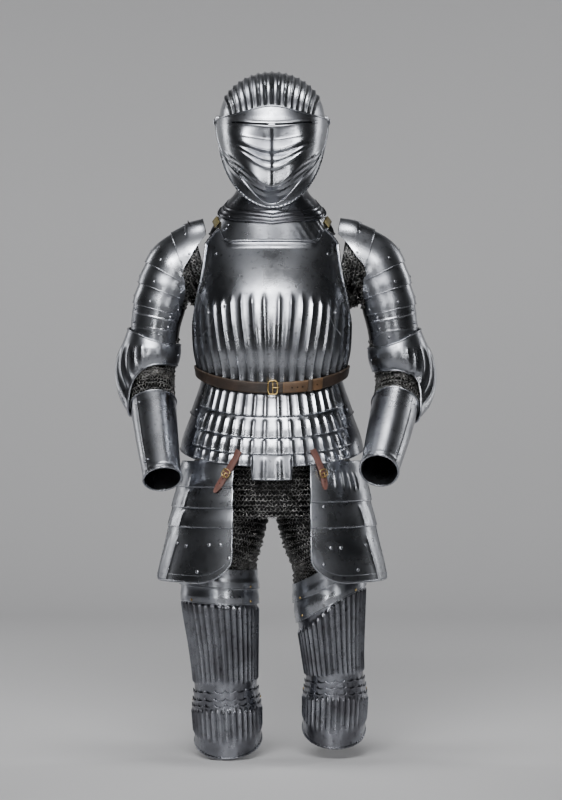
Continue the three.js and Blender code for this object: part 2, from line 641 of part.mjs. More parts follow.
function waistBelt() {
  const proud = BELT.proud + LEATHER;
  const tip = (u) => (u > BELT.tipFrom && u < BELT.tipTo ? LEATHER : 0);
  return plate((u, v) => trunk(u, v - dip(u)), {
    across: [...steps(-180, 6, 20), ...steps(8, 37, 5), ...steps(39, 170, 14)],
    rows: () => [BELT.z + BELT.width / 2, BELT.z - BELT.width / 2],
    lift: (u) => proud + tip(u), base: () => proud, wall: LEATHER, closed: true, du: 1, dv: 1, turn: 1,
  });
}

// An upright frame with a bar across its middle, standing at (x, y, z) and facing forward
function buckleFrame({ width, height, bar, depth }) {
  const frame = toSolid(new THREE.BoxGeometry(width, depth, height));
  const hole = toSolid(new THREE.BoxGeometry(width - 2 * bar, 3 * depth, height - 2 * bar));
  const tongue = toSolid(new THREE.BoxGeometry(width, depth, bar / 2));
  return toGeometry(frame.subtract(hole).add(tongue));
}

function beltBuckle() {
  const z = BELT.z - dip(0);
  const y = trunk(0, z).y - BELT.proud - LEATHER - BUCKLE.stand - BUCKLE.depth / 2;
  return buckleFrame(BUCKLE).translate(BUCKLE.x, y, z);
}

add("breastplate", breastplate(), MATERIALS.steel);
add("backplate", backplate(), MATERIALS.darkSteel);
add("waist_belt", waistBelt(), MATERIALS.leather);
add("belt_buckle", beltBuckle(), MATERIALS.brass);

// FAULD AND CULET: hoops below the waist, each over the next

// The places along a lame, counted in laps from its ends, and how far each stands off its form, as a share
// of the full step: flat where its neighbour covers it
const PLAIN_LAME = {
  laps: [{ share: 0, laps: 0 }, { share: 0, laps: 1 }, { share: 1, laps: -1 }, { share: 1, laps: 0 }],
  lift: [0, 0, 1, 1],
};
const FLUTED_LAME = {
  laps: [
    { share: 0, laps: 0 }, { share: 0, laps: 1 }, { share: 0, laps: 1.6 }, { share: 1, laps: -1 },
    { share: 1, laps: 0 },
  ],
  lift: [0, 0, 0.2, 1, 1],
  relief: [0, 0, 1, 1, 1],
};

function lame(form, spec) {
  const { from, to, lap, relief, inset = 0 } = spec;
  const kind = relief ? FLUTED_LAME : PLAIN_LAME;
  const at = (list, t) => list[Math.round(t * (list.length - 1))];
  const base = (u, v, t) => at(kind.lift, t) * (STEEL + LAME_GAP) - inset;
  return plate(form, {
    rows: (u) => kind.laps.map(({ share, laps }) => lerp(from(u), to(u), share) + laps * lap),
    lift: (u, v, t) => base(u, v, t) + (relief ? at(kind.relief, t) * relief(u) : 0),
    base,
    du: 0.5, dv: 1, turn: 1, ...spec,
  });
}

function fauldLame(index) {
  const { edges, reach, flutes, fluteHeight, flapReach, sideRise } = FAULD;
  const lowest = index === edges.length - 2;
  const lap = lowest ? LAP * 0.6 : LAP;
  const half = reach[index];
  const place = (u) => ((u + reach[0]) / (2 * reach[0])) * flutes;
  const rise = (u) => (lowest && Math.abs(u) > flapReach + 1 ? sideRise : 0);
  return lame(hips, {
    across: fluteColumns(-half, half, flutes),
    from: () => edges[index] + (index ? lap : 0),
    to: (u) => edges[index + 1] + rise(u),
    lap: -lap,
    relief: (u) => fluteHeight * flute(place(u)) * (1 - smooth(Math.abs(u), 50, 60)),
    innerStep: 2,
  });
}

function culetLame(index) {
  const { edges, from, inset } = CULET;
  return lame(hips, {
    across: steps(from, 360 - from, 14),
    from: () => edges[index] + (index ? LAP : 0),
    to: () => edges[index + 1],
    lap: -LAP, inset,
  });
}

FAULD.reach.forEach((_, index) => add(`fauld_lame_${index + 1}`, fauldLame(index), MATERIALS.steel));
for (const index of [0, 1]) add(`culet_lame_${index + 1}`, culetLame(index), MATERIALS.darkSteel);

// ARMS

function armPieces(name) {
  const { side } = ARMS[name];
  const form = limbForm(ARMS[name]);
  const common = { du: 1, dv: 0.02, turn: -side };
  const wrap = steps(WRAP.start, WRAP.end, WRAP.columns);
  // the pauldron is a cap whose arc opens from the neck outwards
  const capped = (u, v) => {
    const open = smooth(v, CAP.from, CAP.full);
    const share = (u - WRAP.start) / (WRAP.end - WRAP.start);
    return form(lerp(lerp(CAP.start, WRAP.start, open), lerp(CAP.end, WRAP.end, open), share), v);
  };
  PAULDRON.forEach(({ from, to }, index) => {
    const geometry = lame(capped, {
      across: wrap, from: () => from, to: () => to, lap: PAULDRON_LAP, ...common,
    });
    add(`pauldron_${name}_${index + 1}`, geometry, MATERIALS.steel);
  });
  const cannon = plate(form, {
    across: wrap, rows: () => steps(UPPER_CANNON.from, UPPER_CANNON.to, 2), ...common,
  });
  add(`upper_cannon_${name}`, cannon, MATERIALS.steel);
  const [top, foot, out] = ["top", "foot", "out"].map((item) => column(COUTER.edges, item, "round"));
  const couter = plate(form, {
    across: steps(COUTER.start, COUTER.end, 12),
    rows: (u) => steps(top(u), foot(u), 5),
    lift: (u, v, t) => 2.4 + out(u) * Math.sin(Math.PI * clamp(t * 0.9 + 0.05, 0, 1)),
    wall: COUTER.thickness, ...common,
  });
  add(`couter_${name}`, couter, MATERIALS.steel);
  const forearm = plate(form, {
    across: steps(0, 360, 16).slice(0, -1), closed: true,
    rows: () => steps(FOREARM.from, FOREARM.to, 2), ...common,
  });
  add(`forearm_cannon_${name}`, forearm, MATERIALS.steel);
  const deep = (v) => lerp(MAIL_SLEEVE.shoulder, MAIL_SLEEVE.inside, smooth(v, 2.7, 3.5));
  const outwards = (u) => Math.sin(radians(u));
  const flare = (u, v) => MAIL_SLEEVE.flare * (1 - smooth(v, 0.8, 1.6)) * (1 - smooth(outwards(u), 0.2, 0.6));
  const sag = (u, v) => MAIL_SLEEVE.sag * smooth(-outwards(u), 0.86, 1) * (1 - smooth(v, 1.7, 2.7));
  const sleeve = plate(form, {
    across: steps(0, 360, 12).slice(0, -1), closed: true,
    rows: () => [MAIL_SLEEVE.from[name], 1.8, 2.6, 3.6, 4.9, 5.7, 6.3, 7, 8],
    lift: (u, v) => sag(u, v) + flare(u, v) - deep(v), wall: MAIL, ...common,
  });
  add(`mail_sleeve_${name}`, sleeve, MATERIALS.mail);
}

for (const name of ["right", "left"]) armPieces(name);

// LEGS

function legPieces(name) {
  const { side, path, slope, thigh, cuisseFoot, lameFeet, foot } = LEGS[name];
  const form = limbForm(LEGS[name]);
  const placeAt = column(path.map((row, at) => ({ at, z: -row.z })), "at", "z");
  const half = column(path.map(({ half: width, z }) => ({ width, z: -z })), "width", "z");
  const slant = (z) => (u) => placeAt(-(z + slope * half(-z) * Math.sin(radians(u))));
  const level = (z) => () => placeAt(-z);
  const common = { du: 1, dv: 0.02, turn: -side };
  const { start, end, flutes, fluteHeight } = LEG_PLATE;
  const plain = steps(start, end, flutes);
  const fluted = fluteColumns(start, end, flutes);
  const relief = (u) => fluteHeight * flute(((u - start) / (end - start)) * flutes);
  [0, 1].forEach((index) => {
    const geometry = lame(form, {
      across: plain, from: slant(thigh[index] + (index ? LAP : 0)), to: slant(thigh[index + 1]),
      lap: THIGH_LAP, ...common,
    });
    add(`thigh_lame_${name}_${index + 1}`, geometry, MATERIALS.steel);
  });
  // its upper edge lies a little deeper, below the thigh lames
  const under = (t) => (t < 0.3 ? LEG_PLATE.tuck : 0);
  const cuisse = plate(form, {
    across: fluted, innerStep: 2,
    rows: (u) => {
      const [a, b] = [slant(thigh[2] + LAP)(u), level(cuisseFoot)()];
      const fade = b - KNEE.lap - KNEE.scallop;
      const plainFrom = fade - KNEE.clear;
      return [a, a + THIGH_LAP, a + 1.5 * THIGH_LAP, plainFrom - KNEE.fade, plainFrom, b];
    },
    lift: (u, v, t) => [0, 0, 1, 1, 0, 0][Math.round(t * 5)] * relief(u) - under(t),
    base: (u, v, t) => -under(t), ...common,
  });
  add(`cuisse_${name}`, cuisse, MATERIALS.darkSteel);
  const kneeGap = (u) => KNEE.sideGap + KNEE.frontGap * Math.max(0, Math.cos(radians(u)));
  const scallop = (u) => KNEE.scallop * flute(((u - start) / (end - start)) * (flutes / 2));
  const feet = [cuisseFoot, ...lameFeet, foot];
  [1, 2, 3].forEach((index) => {
    const last = index === 3;
    const [a, b] = [placeAt(-feet[index - 1]) - KNEE.lap, placeAt(-feet[index])];
    const stand = (u) => index * (STEEL + kneeGap(u)) + KNEE.first;
    const foot = (u) => b - (last ? KNEE.rise * (1 - Math.cos(radians(u))) : 0); // it rises at the sides
    const ridge = (u) => (last ? fluteHeight * flute(((u - start) / (end - start)) * flutes) : 0);
    const geometry = plate(form, {
      across: last ? fluted : plain, innerStep: last ? 2 : 1,
      rows: (u) => {
        const top = a - scallop(u);
        const shares = last ? [0, 0.16, 0.65, 1] : [0, 0.5, 1];
        return shares.map((share) => lerp(top, foot(u), share));
      },
      lift: (u, v, t) => stand(u) + (t > 0.1 && t < 0.9 ? ridge(u) : 0), base: stand, ...common,
    });
    add(last ? `poleyn_${name}` : `knee_lame_${name}_${index}`, geometry, MATERIALS.darkSteel);
  });
}

for (const name of ["right", "left"]) legPieces(name);

// TASSETS

// A slab hung from the fauld: u is the angle round the hips, v the height. It swings out towards its foot.
function tassetForm() {
  return (u, v) => {
    const drop = Math.max(0, TASSETS.top - v);
    const point = hoops(u, TASSETS.ring);
    const out = 1 + (drop * TASSETS.tilt) / Math.hypot(point.x, point.y);
    return new THREE.Vector3(point.x * out, point.y * out, v);
  };
}

function tassetPieces(name) {
  const { side, start, end, edges } = TASSETS[name];
  const form = tassetForm();
  const [middle, span] = [(start + end) / 2, end - start];
  const widened = (u, v) => middle + (u - middle) * (1 + TASSETS.widening * Math.max(0, TASSETS.top - v));
  const round = ({ rise, width }, away) => rise * (1 - Math.sqrt(1 - Math.max(0, 1 - away / width) ** 2));
  const rounding = (u) => round(TASSETS.inner, (u - start) / span) + round(TASSETS.outer, (end - u) / span);
  edges.slice(0, -1).forEach((edge, index) => {
    const last = index === edges.length - 2;
    const corner = (u) => (last ? rounding(u) : 0);
    const shares = [...steps(0, 1, 7), ...(last ? [0.05, 0.95] : [])].sort((a, b) => a - b);
    const geometry = lame((u, v) => form(side * widened(u, v), v), {
      across: shares.map((share) => lerp(start, end, share)), lap: -LAP, turn: side,
      from: (u) => {
        const tucked = lerp(TASSETS.hoop - dip(u), TASSETS.top, smooth(u, 42, 50));
        return index ? edge + LAP : tucked;
      },
      to: (u) => edges[index + 1] + corner(u),
    });
    add(`tasset_${name}_${index + 1}`, geometry, MATERIALS.steel);
  });
}

// A strap from the fauld to the tasset, with a buckle frame on it
function tassetStrap(name) {
  const { side } = TASSETS[name];
  const { width, buckle } = TASSET_STRAP;
  const form = tassetForm();
  const line = TASSET_STRAP[name].map(({ u, z, proud }) => {
    const out = new THREE.Vector3(Math.sin(radians(side * u)), -Math.cos(radians(u)), 0);
    return form(side * u, z).addScaledVector(out, proud);
  });
  const along = line.at(-1).clone().sub(line[0]).normalize();
  const middle = line[2];
  const out = middle.clone().setZ(0).normalize();
  const across = new THREE.Vector3().crossVectors(out, along).normalize();
  add(`tasset_strap_${name}`, strap(line, across, width, LEATHER), MATERIALS.leather);
  const bar = (length, breadth, inner, thickness) => {
    const ends = [-0.5, 0, 0.5].map((share) => middle.clone()
      .addScaledVector(along, share * length).addScaledVector(out, inner));
    return toSolid(strap(ends, across, breadth, thickness));
  };
  const { length, breadth, edge, depth } = buckle;
  const stand = LEATHER + buckle.stand;
  const frame = bar(length, breadth, stand, depth)
    .subtract(bar(length - 2 * edge, breadth - 2 * edge, stand - 1, depth + 2));
  add(`tasset_buckle_${name}`, toGeometry(frame), MATERIALS.brass);
}

for (const name of ["right", "left"]) {
  tassetPieces(name);
  tassetStrap(name);
}

// MAIL HOSE

// A capped block over a form, to join and hollow out
function block(form, rows, lift, turn) {
  const across = steps(0, 360, 12).slice(0, -1);
  const points = [];
  const grid = across.map((u) => rows.map((v) => {
    const normal = normalOf(form, u, v, 1, 0.02).multiplyScalar(turn);
    return points.push(form(u, v).addScaledVector(normal, lift)) - 1;
  }));
  const faces = [];
  grid.forEach((a, j) => {
    const b = grid[(j + 1) % grid.length];
    for (let i = 0; i < rows.length - 1; i++) faces.push([a[i], a[i + 1], b[i + 1]], [a[i], b[i + 1], b[i]]);
  });
  for (const end of [0, rows.length - 1]) {
    const middle = points.push(grid.reduce((sum, a) => sum.add(points[a[end]]), new THREE.Vector3())
      .divideScalar(grid.length)) - 1;
    grid.forEach((a, j) => {
      const b = grid[(j + 1) % grid.length];
      faces.push(end ? [a[end], middle, b[end]] : [a[end], b[end], middle]);
    });
  }
  return toSolid(geometryOf(points, faces));
}

function mailHose() {
  const skirt = ringForm(MAIL_HOSE.hips, 2);
  const legs = ["right", "left"].map((name) => {
    const side = LEGS[name].side;
    return { form: limbForm({ side, path: MAIL_HOSE.legs[name] }), turn: -side };
  });
  const skirtRows = MAIL_HOSE.hips.map(({ z }) => z);
  const [top, foot] = [skirtRows[0], skirtRows.at(-1)];
  const outer = legs.reduce(
    (sum, { form, turn }) => sum.add(block(form, [0, 1, 2, 3], 0, turn)),
    block(skirt, skirtRows, 0, 1),
  );
  const inner = legs.reduce(
    (sum, { form, turn }) => sum.add(block(form, [0, 1, 2, 3.2], -MAIL, turn)),
    block(skirt, [top + 9, ...skirtRows.slice(1, -1), foot + MAIL], -MAIL, 1),
  );
  return outer.subtract(inner);
}

add("mail_hose", toGeometry(mailHose()), MATERIALS.mail);

group.updateMatrixWorld(true);

export default group;
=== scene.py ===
# The looks of a fluted field armour of about 1520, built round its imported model: every plate again from the
# same tables with fine flutes, turned edges and rivets, and the mail ring by ring.
# Tables are in millimetres and degrees, in the model's frame: +Z up, the armour faces -Y, +X is its own left.
# A place along a limb counts the rows of its table. right and left are the wearer's.
import json
import math

import bmesh
import bpy
import numpy as np
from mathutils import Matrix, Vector
from mathutils.bvhtree import BVHTree


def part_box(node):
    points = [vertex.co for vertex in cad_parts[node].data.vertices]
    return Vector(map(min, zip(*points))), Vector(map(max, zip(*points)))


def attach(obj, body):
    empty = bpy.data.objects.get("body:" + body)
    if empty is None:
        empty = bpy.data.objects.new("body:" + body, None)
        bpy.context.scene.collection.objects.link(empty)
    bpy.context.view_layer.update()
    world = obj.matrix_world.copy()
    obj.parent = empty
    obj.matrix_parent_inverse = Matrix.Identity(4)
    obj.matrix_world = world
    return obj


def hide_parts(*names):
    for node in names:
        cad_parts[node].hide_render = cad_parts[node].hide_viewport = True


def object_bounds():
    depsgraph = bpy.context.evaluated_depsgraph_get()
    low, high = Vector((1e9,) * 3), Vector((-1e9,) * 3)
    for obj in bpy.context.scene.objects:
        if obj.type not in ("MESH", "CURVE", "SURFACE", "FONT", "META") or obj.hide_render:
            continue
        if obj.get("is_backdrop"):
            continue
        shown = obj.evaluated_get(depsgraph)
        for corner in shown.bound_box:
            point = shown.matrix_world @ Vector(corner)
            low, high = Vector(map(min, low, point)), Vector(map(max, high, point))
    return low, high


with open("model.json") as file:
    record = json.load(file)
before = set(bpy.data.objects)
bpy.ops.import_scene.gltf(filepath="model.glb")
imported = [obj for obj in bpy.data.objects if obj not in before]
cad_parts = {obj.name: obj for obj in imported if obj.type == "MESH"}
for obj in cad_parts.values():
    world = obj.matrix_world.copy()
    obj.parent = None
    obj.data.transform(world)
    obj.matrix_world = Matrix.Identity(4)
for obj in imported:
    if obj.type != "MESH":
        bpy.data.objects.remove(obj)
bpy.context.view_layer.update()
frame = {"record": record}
body_of_node = {n: body for body, nodes in frame["record"]["behaviour"]["bodies"].items() for n in nodes}

MM = 0.001
STEEL = 1.6  # wall of a plate
LAME_STEP = STEEL + 1.0  # how far a lame stands out over the one that it covers
LAP = 8.0  # how far one lame reaches under the next
LEATHER = 2.6
MAIL = 2.6
PIVOT_Z = 206.0  # height of the helmet's pivots
FACE_END, FACE_POWER = 87.5, 0.94  # how far round the helmet's parts reach, and how square they are
SIDES = {"right": -1, "left": 1}
SHARP = math.radians(48)  # edges sharper than this are shaded as edges


# TABLES


def table(names, *rows):
    """The columns of a short table, by name."""
    return dict(zip(names.split(), np.array(rows, float).T))


SKULL = table("angle r", (0, 112), (35, 106), (90, 98), (135, 112), (180, 126), (215, 128), (240, 134),
              (270, 158), (300, 186))
VISOR = table("ahead up", (115, 19), (120, -6), (123, -22), (118, -48), (139, -70), (133, -78), (145, -89.5),
              (141, -95), (149.5, -104.5), (145, -110), (146, -140), (127, -155), (107, -172.5))
VISOR_SIDE = {"above": 118, "below": 186, "reach": 0.82}  # its radius round the pivots at the sides
VISOR_EDGES = {"brow": 9.4, "temple": 2, "chin": -58.2, "jaw": -47.5}
SIGHT = {"high": -15.6, "low": -20.6, "from": 6, "to": 80, "ahead": 121}
VISOR_PEG = (-64, 112)  # where it shows in the front view
BEVOR = table("angle r", (-60.5, 205), (-55, 190), (-50, 182), (-42, 170), (-34, 156))
SKULL_HALF, VISOR_HALF, BEVOR_HALF = 106.0, 111.3, 108.7
COLLAR = table("z half front back", (105, 66, 78, 77.6), (88, 67, 79, 76), (64, 74, 84, 80), (46, 90, 88, 86),
               (30, 104.5, 93, 94.5), (20, 113, 99.6, 99.5), (-6, 125, 101, 102))
COLLAR_TOP = table("round z", (0, 50), (50, 62), (90, 82), (150, 90), (180, 105))
COLLAR_FOOT = table("round z", (0, -3), (60, 12), (90, 34), (180, 14))
COLLAR_RIVETS = ((-86, 16), (100, 18))  # rivets are given where they show in the front view
COLLAR_LINES = (0.66, 0.78, 0.9)  # shares of the way down
GORGET = table("z half front back", (46, 87.4, 84.4, 80.4), (22, 103.4, 94.4, 88.4), (0, 117.4, 96.4, 92.4),
               (-30, 129, 96.4, 91), (-72, 132, 95, 89))
GORGET_TOP, GORGET_FOOT = (12, 38), (-68, -18)  # heights, in the middle and at the sides
GORGET_RIVETS = ((-12, -30), (2, -30), (-88, 0), (-92, -8), (112, -8))
TRUNK = table("z half front back", (10, 132, 76, 92), (-14, 138, 86, 100), (-40, 141, 98, 108),
              (-90, 145, 124, 116), (-140, 153, 143, 119), (-200, 157, 154, 116), (-250, 155, 150, 110),
              (-290, 147, 136, 104), (-330, 142, 130, 102))
HIPS = table("z half front back", (-270, 143.8, 127.2, 105), (-296, 143.8, 127.2, 105), (-320, 148, 133, 112),
             (-350, 157, 141, 124), (-385, 169, 147, 139), (-420, 180, 150, 152), (-450, 186, 151, 160),
             (-480, 189, 150, 166))
BREAST_TOP = table("across z", (0, -40), (34, -40), (40, -32), (47, -12), (66, -40), (70, -120), (77, -176),
                   (88, -208))
BACK_TOP = table("across z", (0, -6), (30, -8), (44, 2), (62, -24), (70, -134), (78, -178), (90, -208))
BREAST = {"flutes": 22, "height": 3.2, "top": -138, "droop": 34, "run_out": 22, "narrowing": 0.28,
          "side": 88, "foot": -292, "neck": 4.5}
BREAST_RIVETS = ((112, -58), (128, -176))  # on both sides
PINCHED = (0.1, 2.8)  # the crest and hollow of the breast's and fauld's flutes
GUSSET = table("x z", (147, -132), (136, -160), (116, -184), (124, -202), (140, -222))
BREAST_HOLES = ((-95, -163), (-101, -192))  # where they show in the front view
FAULD = {"edges": (-286, -346, -387, -419, -468), "reach": (62, 60, 57, 53), "flutes": 18, "height": 2.6,
         "flap": 9, "rise": 26}
CULET = {"edges": (-284, -372, -446), "start": 51, "inset": 4.9}
BELT = {"width": 21, "z": -290, "proud": 4.8, "tip_from": 7, "tip_to": 38, "holes": (13, 17, 21, 33),
        "keeper": 26.5}
ARMS = {
    "right": table("out y z half depth", (118, 0, -66, 82, 60), (150, 0, -74, 78, 60),
                        (190, 2, -90, 63, 58), (216, 4, -142, 56, 56), (230, 8, -194, 52, 53),
                        (234, 12, -246, 49, 51), (240, 10, -304, 47, 50), (237, -16, -352, 46, 48),
                        (226, -70, -428, 42, 44), (213, -126, -504, 37, 39)),
    "left": table("out y z half depth", (122, 0, -66, 82, 60), (156, 0, -72, 79, 60),
                      (200, 2, -86, 64, 58), (225, 4, -142, 57, 56), (238, 8, -196, 53, 54),
                      (244, 14, -250, 50, 52), (254, 16, -312, 48, 50), (246, -22, -356, 47, 49),
                      (228, -100, -420, 43, 45), (207, -180, -486, 37, 39)),
}
PAULDRON = ((0.06, 1.62), (1.5, 2.3), (2.2, 2.86), (2.76, 3.5))  # from and to, along the arm's line
PAULDRON_LAP = 0.13
UPPER_CANNON = (3.4, 4.75)
CANNON_STAGES = (3.78, 4.2)
CANNON_RIVETS = ((-30, 3.66), (60, 3.66), (-30, 4.08), (60, 4.08), (-10, 4.42), (100, 4.1))
FOREARM = (7.06, 9.0)
FOREARM_SEAMS, CUFF_LINE = (40, 222), 8.9
WRAP = (-54, 234)  # the arc of the arm that these plates cover, 0 in front and 90 outside
CAP = {"start": 38, "end": 130, "from": -0.4, "full": 3.6}  # the narrower arc by the neck, and how it opens
SLEEVE = {"from": {"right": 0.78, "left": 0.6}, "flare": 2.7, "inside": 3.5, "shoulder": 10, "sag": 26}
COUTER = table("round top foot out", (-78, 4.82, 5.5, 3), (-30, 4.78, 5.5, 4), (10, 4.62, 5.72, 8),
               (45, 4.4, 6.62, 14), (80, 4.34, 7.2, 22), (125, 4.34, 7.1, 26), (165, 4.5, 6.5, 16),
               (204, 4.7, 6.1, 6))
LEGS = {
    "right": {
        "slope": 0.1, "thigh": (-684, -720, -752), "feet": (-946, -962, -974, -1058),
        "path": table("out y z half depth", (108, 0, -640, 79, 84), (105, 0, -716, 77, 82),
                      (103, 0, -760, 75, 79), (96, 0, -850, 67, 72), (91, 0, -950, 61, 68),
                      (86, -4, -1060, 57, 64)),
    },
    "left": {
        "slope": 0.48, "thigh": (-680, -716, -754), "feet": (-922, -936, -950, -1038),
        "path": table("out y z half depth", (110, 0, -640, 76, 82), (113, 0, -716, 73, 79),
                      (115, 0, -760, 70, 76), (121, 0, -850, 61, 70), (126, 0, -930, 56, 66),
                      (122, -4, -1040, 53, 62)),
    },
}
LEG_WRAP = (-112, 112)
LEG_FLUTES, LEG_FLUTE_HEIGHT = 24, 3.0
THIGH_LAPS = {"short": 0.16, "long": 0.2, "from": 0.44}  # the longer lames have the longer laps
STUDS_AT = (-104, 104)  # the leather's rivets, near the plates' ends
KNEE = {"lap": 0.16, "side_gap": 0.95, "first": 0.5, "front_gap": 1, "scallop": 0.07, "rise": 0.3,
        "fine": 0.3}
TASSETS = {
    "right": {"start": 21.2, "end": 74, "edges": (-478, -520, -560, -598, -704)},
    "left": {"start": 21.2, "end": 76, "edges": (-478, -548, -598, -704)},
}
TASSET = {"top": -470, "hoop": -437, "ring": -440, "tilt": 0.19, "widening": 0.0009}
TASSET_CORNERS = {"inner": (58, 0.32), "outer": (18, 0.14)}  # how high they are rounded, and over what share
TASSET_RIVETS = {
    "right": table("lame x z", (3, -102, -564), (4, -110, -602), (4, -126, -640), (4, -104, -640),
                   (4, -172, -642), (4, -190, -636), (4, -86, -667), (4, -150, -694), (4, -208, -688)),
    "left": table("lame x z", (2, 104, -564), (3, 116, -606), (3, 118, -646), (3, 138, -646), (3, 104, -680),
                  (3, 172, -690), (3, 188, -640), (3, 202, -630)),
}
TASSET_STRAPS = {
    "right": table("u z proud", (17, -448, 5.4), (19.5, -466, 6.2), (24, -492, 4.4), (31, -530, 3.6)),
    "left": table("u z proud", (22, -446, 5.2), (25, -466, 6), (28, -492, 4), (29, -524, 3.2)),
}
SHOULDER_STRAP = table("x y z", (108, 46, 1), (112, 22, 8), (113.6, 0, 10.6), (112, -22, 8), (108, -46, -3))
HOSE_HIPS = table("z half front back", (-330, 143.8, 124.8, 108), (-400, 152, 126, 126),
                  (-448, 152, 124, 134), (-500, 158, 118, 138), (-560, 162, 106, 128), (-580, 160, 100, 124))
HOSE_LEGS = {
    "right": table("out y z half depth", (82, 4, -556, 79, 98), (90, 4, -620, 72, 86),
                   (107, 0, -668, 75.4, 80.4), (105, 0, -714, 74, 79)),
    "left": table("out y z half depth", (82, 4, -556, 79, 98), (90, 4, -620, 70, 84),
                  (111, 0, -668, 70.6, 76.6), (113, 0, -712, 69.2, 75.2)),
}


# CURVES AND FORMS


def lerp(a, b, t):
    return a + (b - a) * t


def smooth(x, low, high):
    t = np.clip((np.asarray(x, float) - low) / (high - low), 0, 1)
    return t * t * (3 - 2 * t)


def window(x, low, full, fading, high):
    """1 between full and fading, 0 below low and above high."""
    return smooth(x, low, full) * (1 - smooth(x, fading, high))


def line(x, at, width):
    """A rounded line's height across it, as a share."""
    return np.exp(-((x - at) / width) ** 2)


def crease(x, at, width):
    """The same of a sharp one."""
    return np.exp(-np.abs(x - at) / width)


def steps(start, end, count):
    return np.linspace(start, end, count + 1)


def sin(angle):
    return np.sin(np.radians(angle))


def cos(angle):
    return np.cos(np.radians(angle))


def column(rows, name, by):
    """A column of a table as a smooth function of another one; past the table it keeps its end value."""
    order = np.argsort(rows[by])
    x, y = rows[by][order], rows[name][order]
    before = np.maximum(np.arange(len(x)) - 1, 0)
    after = np.minimum(np.arange(len(x)) + 1, len(x) - 1)
    slope = (y[after] - y[before]) / (x[after] - x[before])

    def at(place):
        p = np.clip(place, x[0], x[-1])
        i = np.clip(np.searchsorted(x, p) - 1, 0, len(x) - 2)
        width = x[i + 1] - x[i]
        t = (p - x[i]) / width
        bend = (1 - t) * t * width
        return lerp(y[i], y[i + 1], t * t * (3 - 2 * t)) + bend * ((1 - t) * slope[i] - t * slope[i + 1])

    return at


def stack(x, y, z):
    return np.stack(np.broadcast_arrays(x, y, z), axis=-1).astype(float)


def unit(vectors):
    return vectors / np.maximum(np.linalg.norm(vectors, axis=-1, keepdims=True), 1e-12)


def arc(start, end, count, *dense):
    """Places from start to end, with the given stretches sampled more finely: (from, to, count)."""
    places = [steps(start, end, count), *(steps(*stretch) for stretch in dense)]
    return np.unique(np.round(np.concatenate(places), 4))


def curve(points, count):
    """A smooth line through points."""
    rows = dict(zip("xyz", np.asarray(points, float).T), at=np.arange(len(points), dtype=float))
    at = steps(0, len(points) - 1, count)
    return stack(*(column(rows, axis, "at")(at) for axis in "xyz"))


def ring_form(rows, squareness=2.25):
    """A closed ring: u is the angle from the front towards +X, v the height."""
    half, front, back = (column(rows, name, "z") for name in ("half", "front", "back"))

    def power(value):
        return np.sign(value) * np.abs(value) ** (2 / squareness)

    def form(u, v):
        s, c = sin(u), cos(u)
        return stack(half(v) * power(s), -np.where(c > 0, front(v), back(v)) * power(c), v)

    return form


def limb_form(side, path):
    """A limb: u is the angle from the front round the outside, v the place along its table's line."""
    rows = {**path, "at": np.arange(len(path["z"]), dtype=float)}
    last = len(path["z"]) - 1
    out, y, z, half, depth = (column(rows, name, "at") for name in ("out", "y", "z", "half", "depth"))
    reach = 0.01

    def centre(v):
        return stack(out(v), y(v), z(v))

    def form(u, v):
        u, v = np.broadcast_arrays(np.asarray(u, float), np.asarray(v, float))
        place = np.clip(v, 0, last)
        along = unit(centre(np.minimum(place + reach, last)) - centre(np.maximum(place - reach, 0)))
        front = unit(np.array([0.0, -1.0, 0.0]) + along * along[..., 1:2])
        outside = unit(np.cross(front, along))
        point = centre(place) + front * (depth(place) * cos(u))[..., None]
        point = point + outside * (half(place) * sin(u))[..., None] + along * ((v - place) * 50)[..., None]
        return point * np.array([side, 1.0, 1.0])

    return form


def about_pivots(half, radius, u, v):
    """A point of the helmet: u runs across the face from -90 to 90, v is the angle round the pivots, 0 ahead
    and 90 up, and radius is what it is in the middle."""
    c = cos(u)
    r = radius * np.abs(c) ** FACE_POWER * np.sign(c)
    return stack(half * sin(u), -r * cos(v), PIVOT_Z + r * sin(v))


def helmet_form(half, rows):
    radius = column(rows, "r", "angle")
    return lambda u, v: about_pivots(half, radius(v), u, v)


def limb(side, path):
    """A limb's form, and the steps by which its outward direction is found."""
    return limb_form(side, path), {"du": 1, "dv": 0.02, "turn": -side}


WAIST_DIP, DIP_SPREAD = 36.0, 1.3  # the hoops below the waist sag in front
trunk = ring_form(TRUNK)
hoops = ring_form(HIPS)


def dip(u):
    return WAIST_DIP * np.maximum(0, cos(u)) ** DIP_SPREAD


def hips(u, v):
    point = hoops(u, v)
    point[..., 2] = v - dip(u)
    return point


def ridge(place, crest=0.09, hollow=2.2):
    """Flutes with a rounded crest at each half and a hollow between them: 1 on the crest, 0 in the hollow."""
    away = np.abs(2 * (place - np.floor(place)) - 1)
    away = (np.sqrt(away * away + crest * crest) - crest) / (math.sqrt(1 + crest * crest) - crest)
    return (1 - away) ** hollow


# MESHES: a part is (points in millimetres, faces, material number)


def outward(form, u, v, du=1.0, dv=1.0, turn=1):
    across = form(u + du, v) - form(u - du, v)
    along = form(u, v + dv) - form(u, v - dv)
    return unit(np.cross(across, along)) * turn


